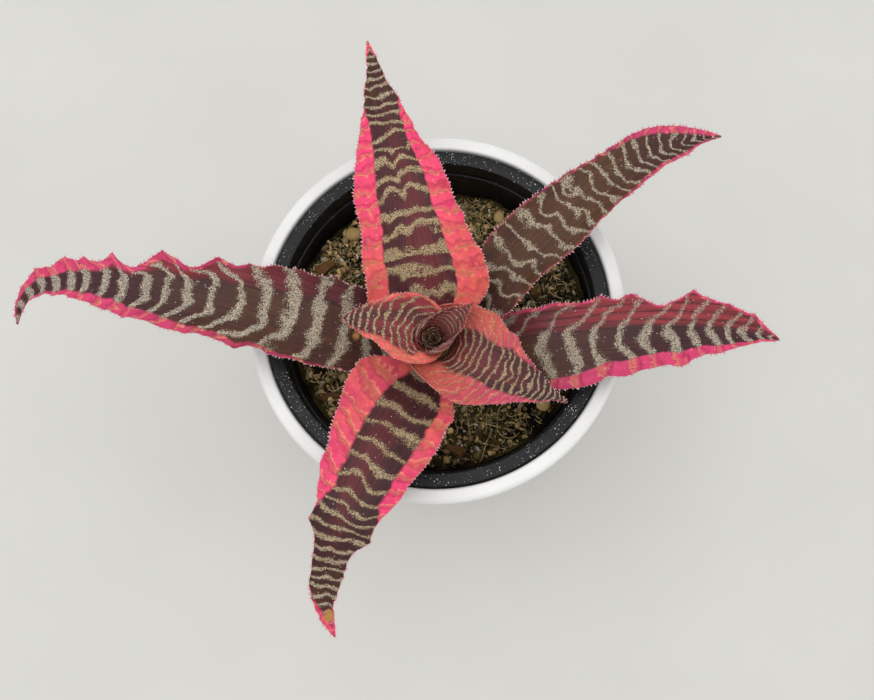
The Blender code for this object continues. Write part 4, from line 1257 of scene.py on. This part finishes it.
class BROMELIAD_OT_stem(bpy.types.Operator):
    """Turns the short stalk with its rings of old leaf scars."""

    bl_idname = "bromeliad.stem"
    bl_label = "Stem"

    def execute(self, context):
        low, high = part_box("stem")
        height = np.linspace(high.z, low.z, 90)
        scars = 7
        ridge = np.abs(((height - low.z) / (high.z - low.z) * scars) % 1.0 - 0.5) * 2
        profile = list(zip(STEM_RADIUS - 0.3 * MM * (1 - ridge) ** 2, height))
        rings = turned([(STEM_RADIUS * 0.4, high.z)] + profile + [(STEM_RADIUS * 0.4, low.z)], 48)
        angle = np.arctan2(rings[..., 1], rings[..., 0])
        rings[..., :2] *= (1 - 0.025 + 0.025 * drift(angle * 5, rings[..., 2] / MM, 1.0, 12))[..., None]
        rings[..., :2] += STEM_AXIS
        points, triangles = skin(rings)
        layers = {"shade": np.tile((0.5, 0.1, 0.0), (len(points), 1))}
        bark = crumbly("old_stem_bark", "3A2413", "8C6436", 0.8)
        add_piece("stem_scarred", points, triangles, bark, ["stem"], layers)
        return {"FINISHED"}


class BROMELIAD_OT_leaves(bpy.types.Operator):
    """Grows the eight open leaves with their bands, margins and spines."""

    bl_idname = "bromeliad.leaves"
    bl_label = "Open leaves"

    def execute(self, context):
        blade = leaf_blade("banded_leaf_skin")
        for seed, name in enumerate(LEAVES):
            leaf_piece(name, 100 * (seed + 1), blade, context.scene.bromeliad_leaves)
        return {"FINISHED"}


class BROMELIAD_OT_whorl(bpy.types.Operator):
    """Rolls the three young leaves in the middle."""

    bl_idname = "bromeliad.whorl"
    bl_label = "Rolled young leaves"

    def execute(self, context):
        blade = leaf_blade("rolled_leaf_skin")
        for seed, name in enumerate(WHORL):
            whorl_piece(name, 900 + seed, blade)
        return {"FINISHED"}


class BROMELIAD_OT_stage(bpy.types.Operator):
    """Sets the plain floor, soft studio light and camera."""

    bl_idname = "bromeliad.stage"
    bl_label = "Stage"

    def execute(self, context):
        settings = context.scene.bromeliad_stage
        mesh = bpy.data.meshes.new("floor")
        side = settings.floor_radius
        corners = [(-side, -side, 0), (side, -side, 0), (side, side, 0), (-side, side, 0)]
        mesh.from_pydata(corners, [], [(0, 1, 2, 3)])
        made, tree, shader = new_material("matt_floor", Roughness=0.6, IOR=1.45)
        cloud = noise(tree, place_of(tree), 90, 3.0)
        shade = remap(tree, cloud.outputs["Fac"], (0.3, 0.7), (0.97, 1.02))
        base = scaled(tree, settings.floor[:3], shade)
        tree.links.new(base.outputs[0], shader.inputs["Base Color"])
        mesh.materials.append(made)
        floor = bpy.data.objects.new("floor", mesh)
        context.scene.collection.objects.link(floor)
        world = bpy.data.worlds.new("room")
        world.use_nodes = True
        back = world.node_tree.nodes["Background"]
        back.inputs["Color"].default_value = srgb("F4F6FA")
        back.inputs["Strength"].default_value = settings.sky
        context.scene.world = world
        for name, power, size, place in (
            ("key", settings.key_power, 1.1, (-0.34, 0.1, 1.1)),
            ("fill", settings.fill_power, 1.2, (0.55, -0.05, 1.0)),
        ):
            light = bpy.data.lights.new(name, "AREA")
            light.energy = power
            light.size = size
            lamp = bpy.data.objects.new(name, light)
            lamp.location = place
            lamp.rotation_euler = (Vector((0, 0, 0.1)) - Vector(place)).to_track_quat("-Z", "Y").to_euler()
            context.scene.collection.objects.link(lamp)
        lens = bpy.data.cameras.new("camera")
        lens.lens = CAMERA_LENS
        lens.clip_start = 0.01
        camera = bpy.data.objects.new("camera", lens)
        right, up = Vector(CAMERA_RIGHT).normalized(), Vector(CAMERA_UP)
        back = right.cross(up).normalized()
        up = back.cross(right)
        camera.matrix_world = Matrix.Translation(CAMERA_PLACE) @ Matrix((right, up, back)).transposed().to_4x4()
        context.scene.collection.objects.link(camera)
        context.scene.camera = camera
        context.scene.view_settings.view_transform = "Standard"
        return {"FINISHED"}


OPERATORS = (
    BROMELIAD_OT_cover_pot, BROMELIAD_OT_growing_pot, BROMELIAD_OT_potting_mix, BROMELIAD_OT_loose_pieces,
    BROMELIAD_OT_stem, BROMELIAD_OT_leaves, BROMELIAD_OT_whorl, BROMELIAD_OT_stage,
)


class BROMELIAD_PT_panel(bpy.types.Panel):
    bl_label = "Potted bromeliad"
    bl_idname = "BROMELIAD_PT_panel"
    bl_space_type = "VIEW_3D"
    bl_region_type = "UI"
    bl_category = "Bromeliad"

    def draw(self, context):
        for group in SETTINGS:
            for label in SETTINGS[group].__annotations__:
                self.layout.prop(getattr(context.scene, group), label)
        for operator in OPERATORS:
            self.layout.operator(operator.bl_idname)


CLASSES = (*SETTINGS.values(), *OPERATORS, BROMELIAD_PT_panel)


def register():
    for made in CLASSES:
        bpy.utils.register_class(made)
    for label, group in SETTINGS.items():
        setattr(bpy.types.Scene, label, bpy.props.PointerProperty(type=group))


def unregister():
    for label in SETTINGS:
        delattr(bpy.types.Scene, label)
    for made in reversed(CLASSES):
        bpy.utils.unregister_class(made)


def main():
    register()
    for operator in OPERATORS:
        family, name = operator.bl_idname.split(".")
        getattr(getattr(bpy.ops, family), name)()


if __name__ == "__main__":
    main()
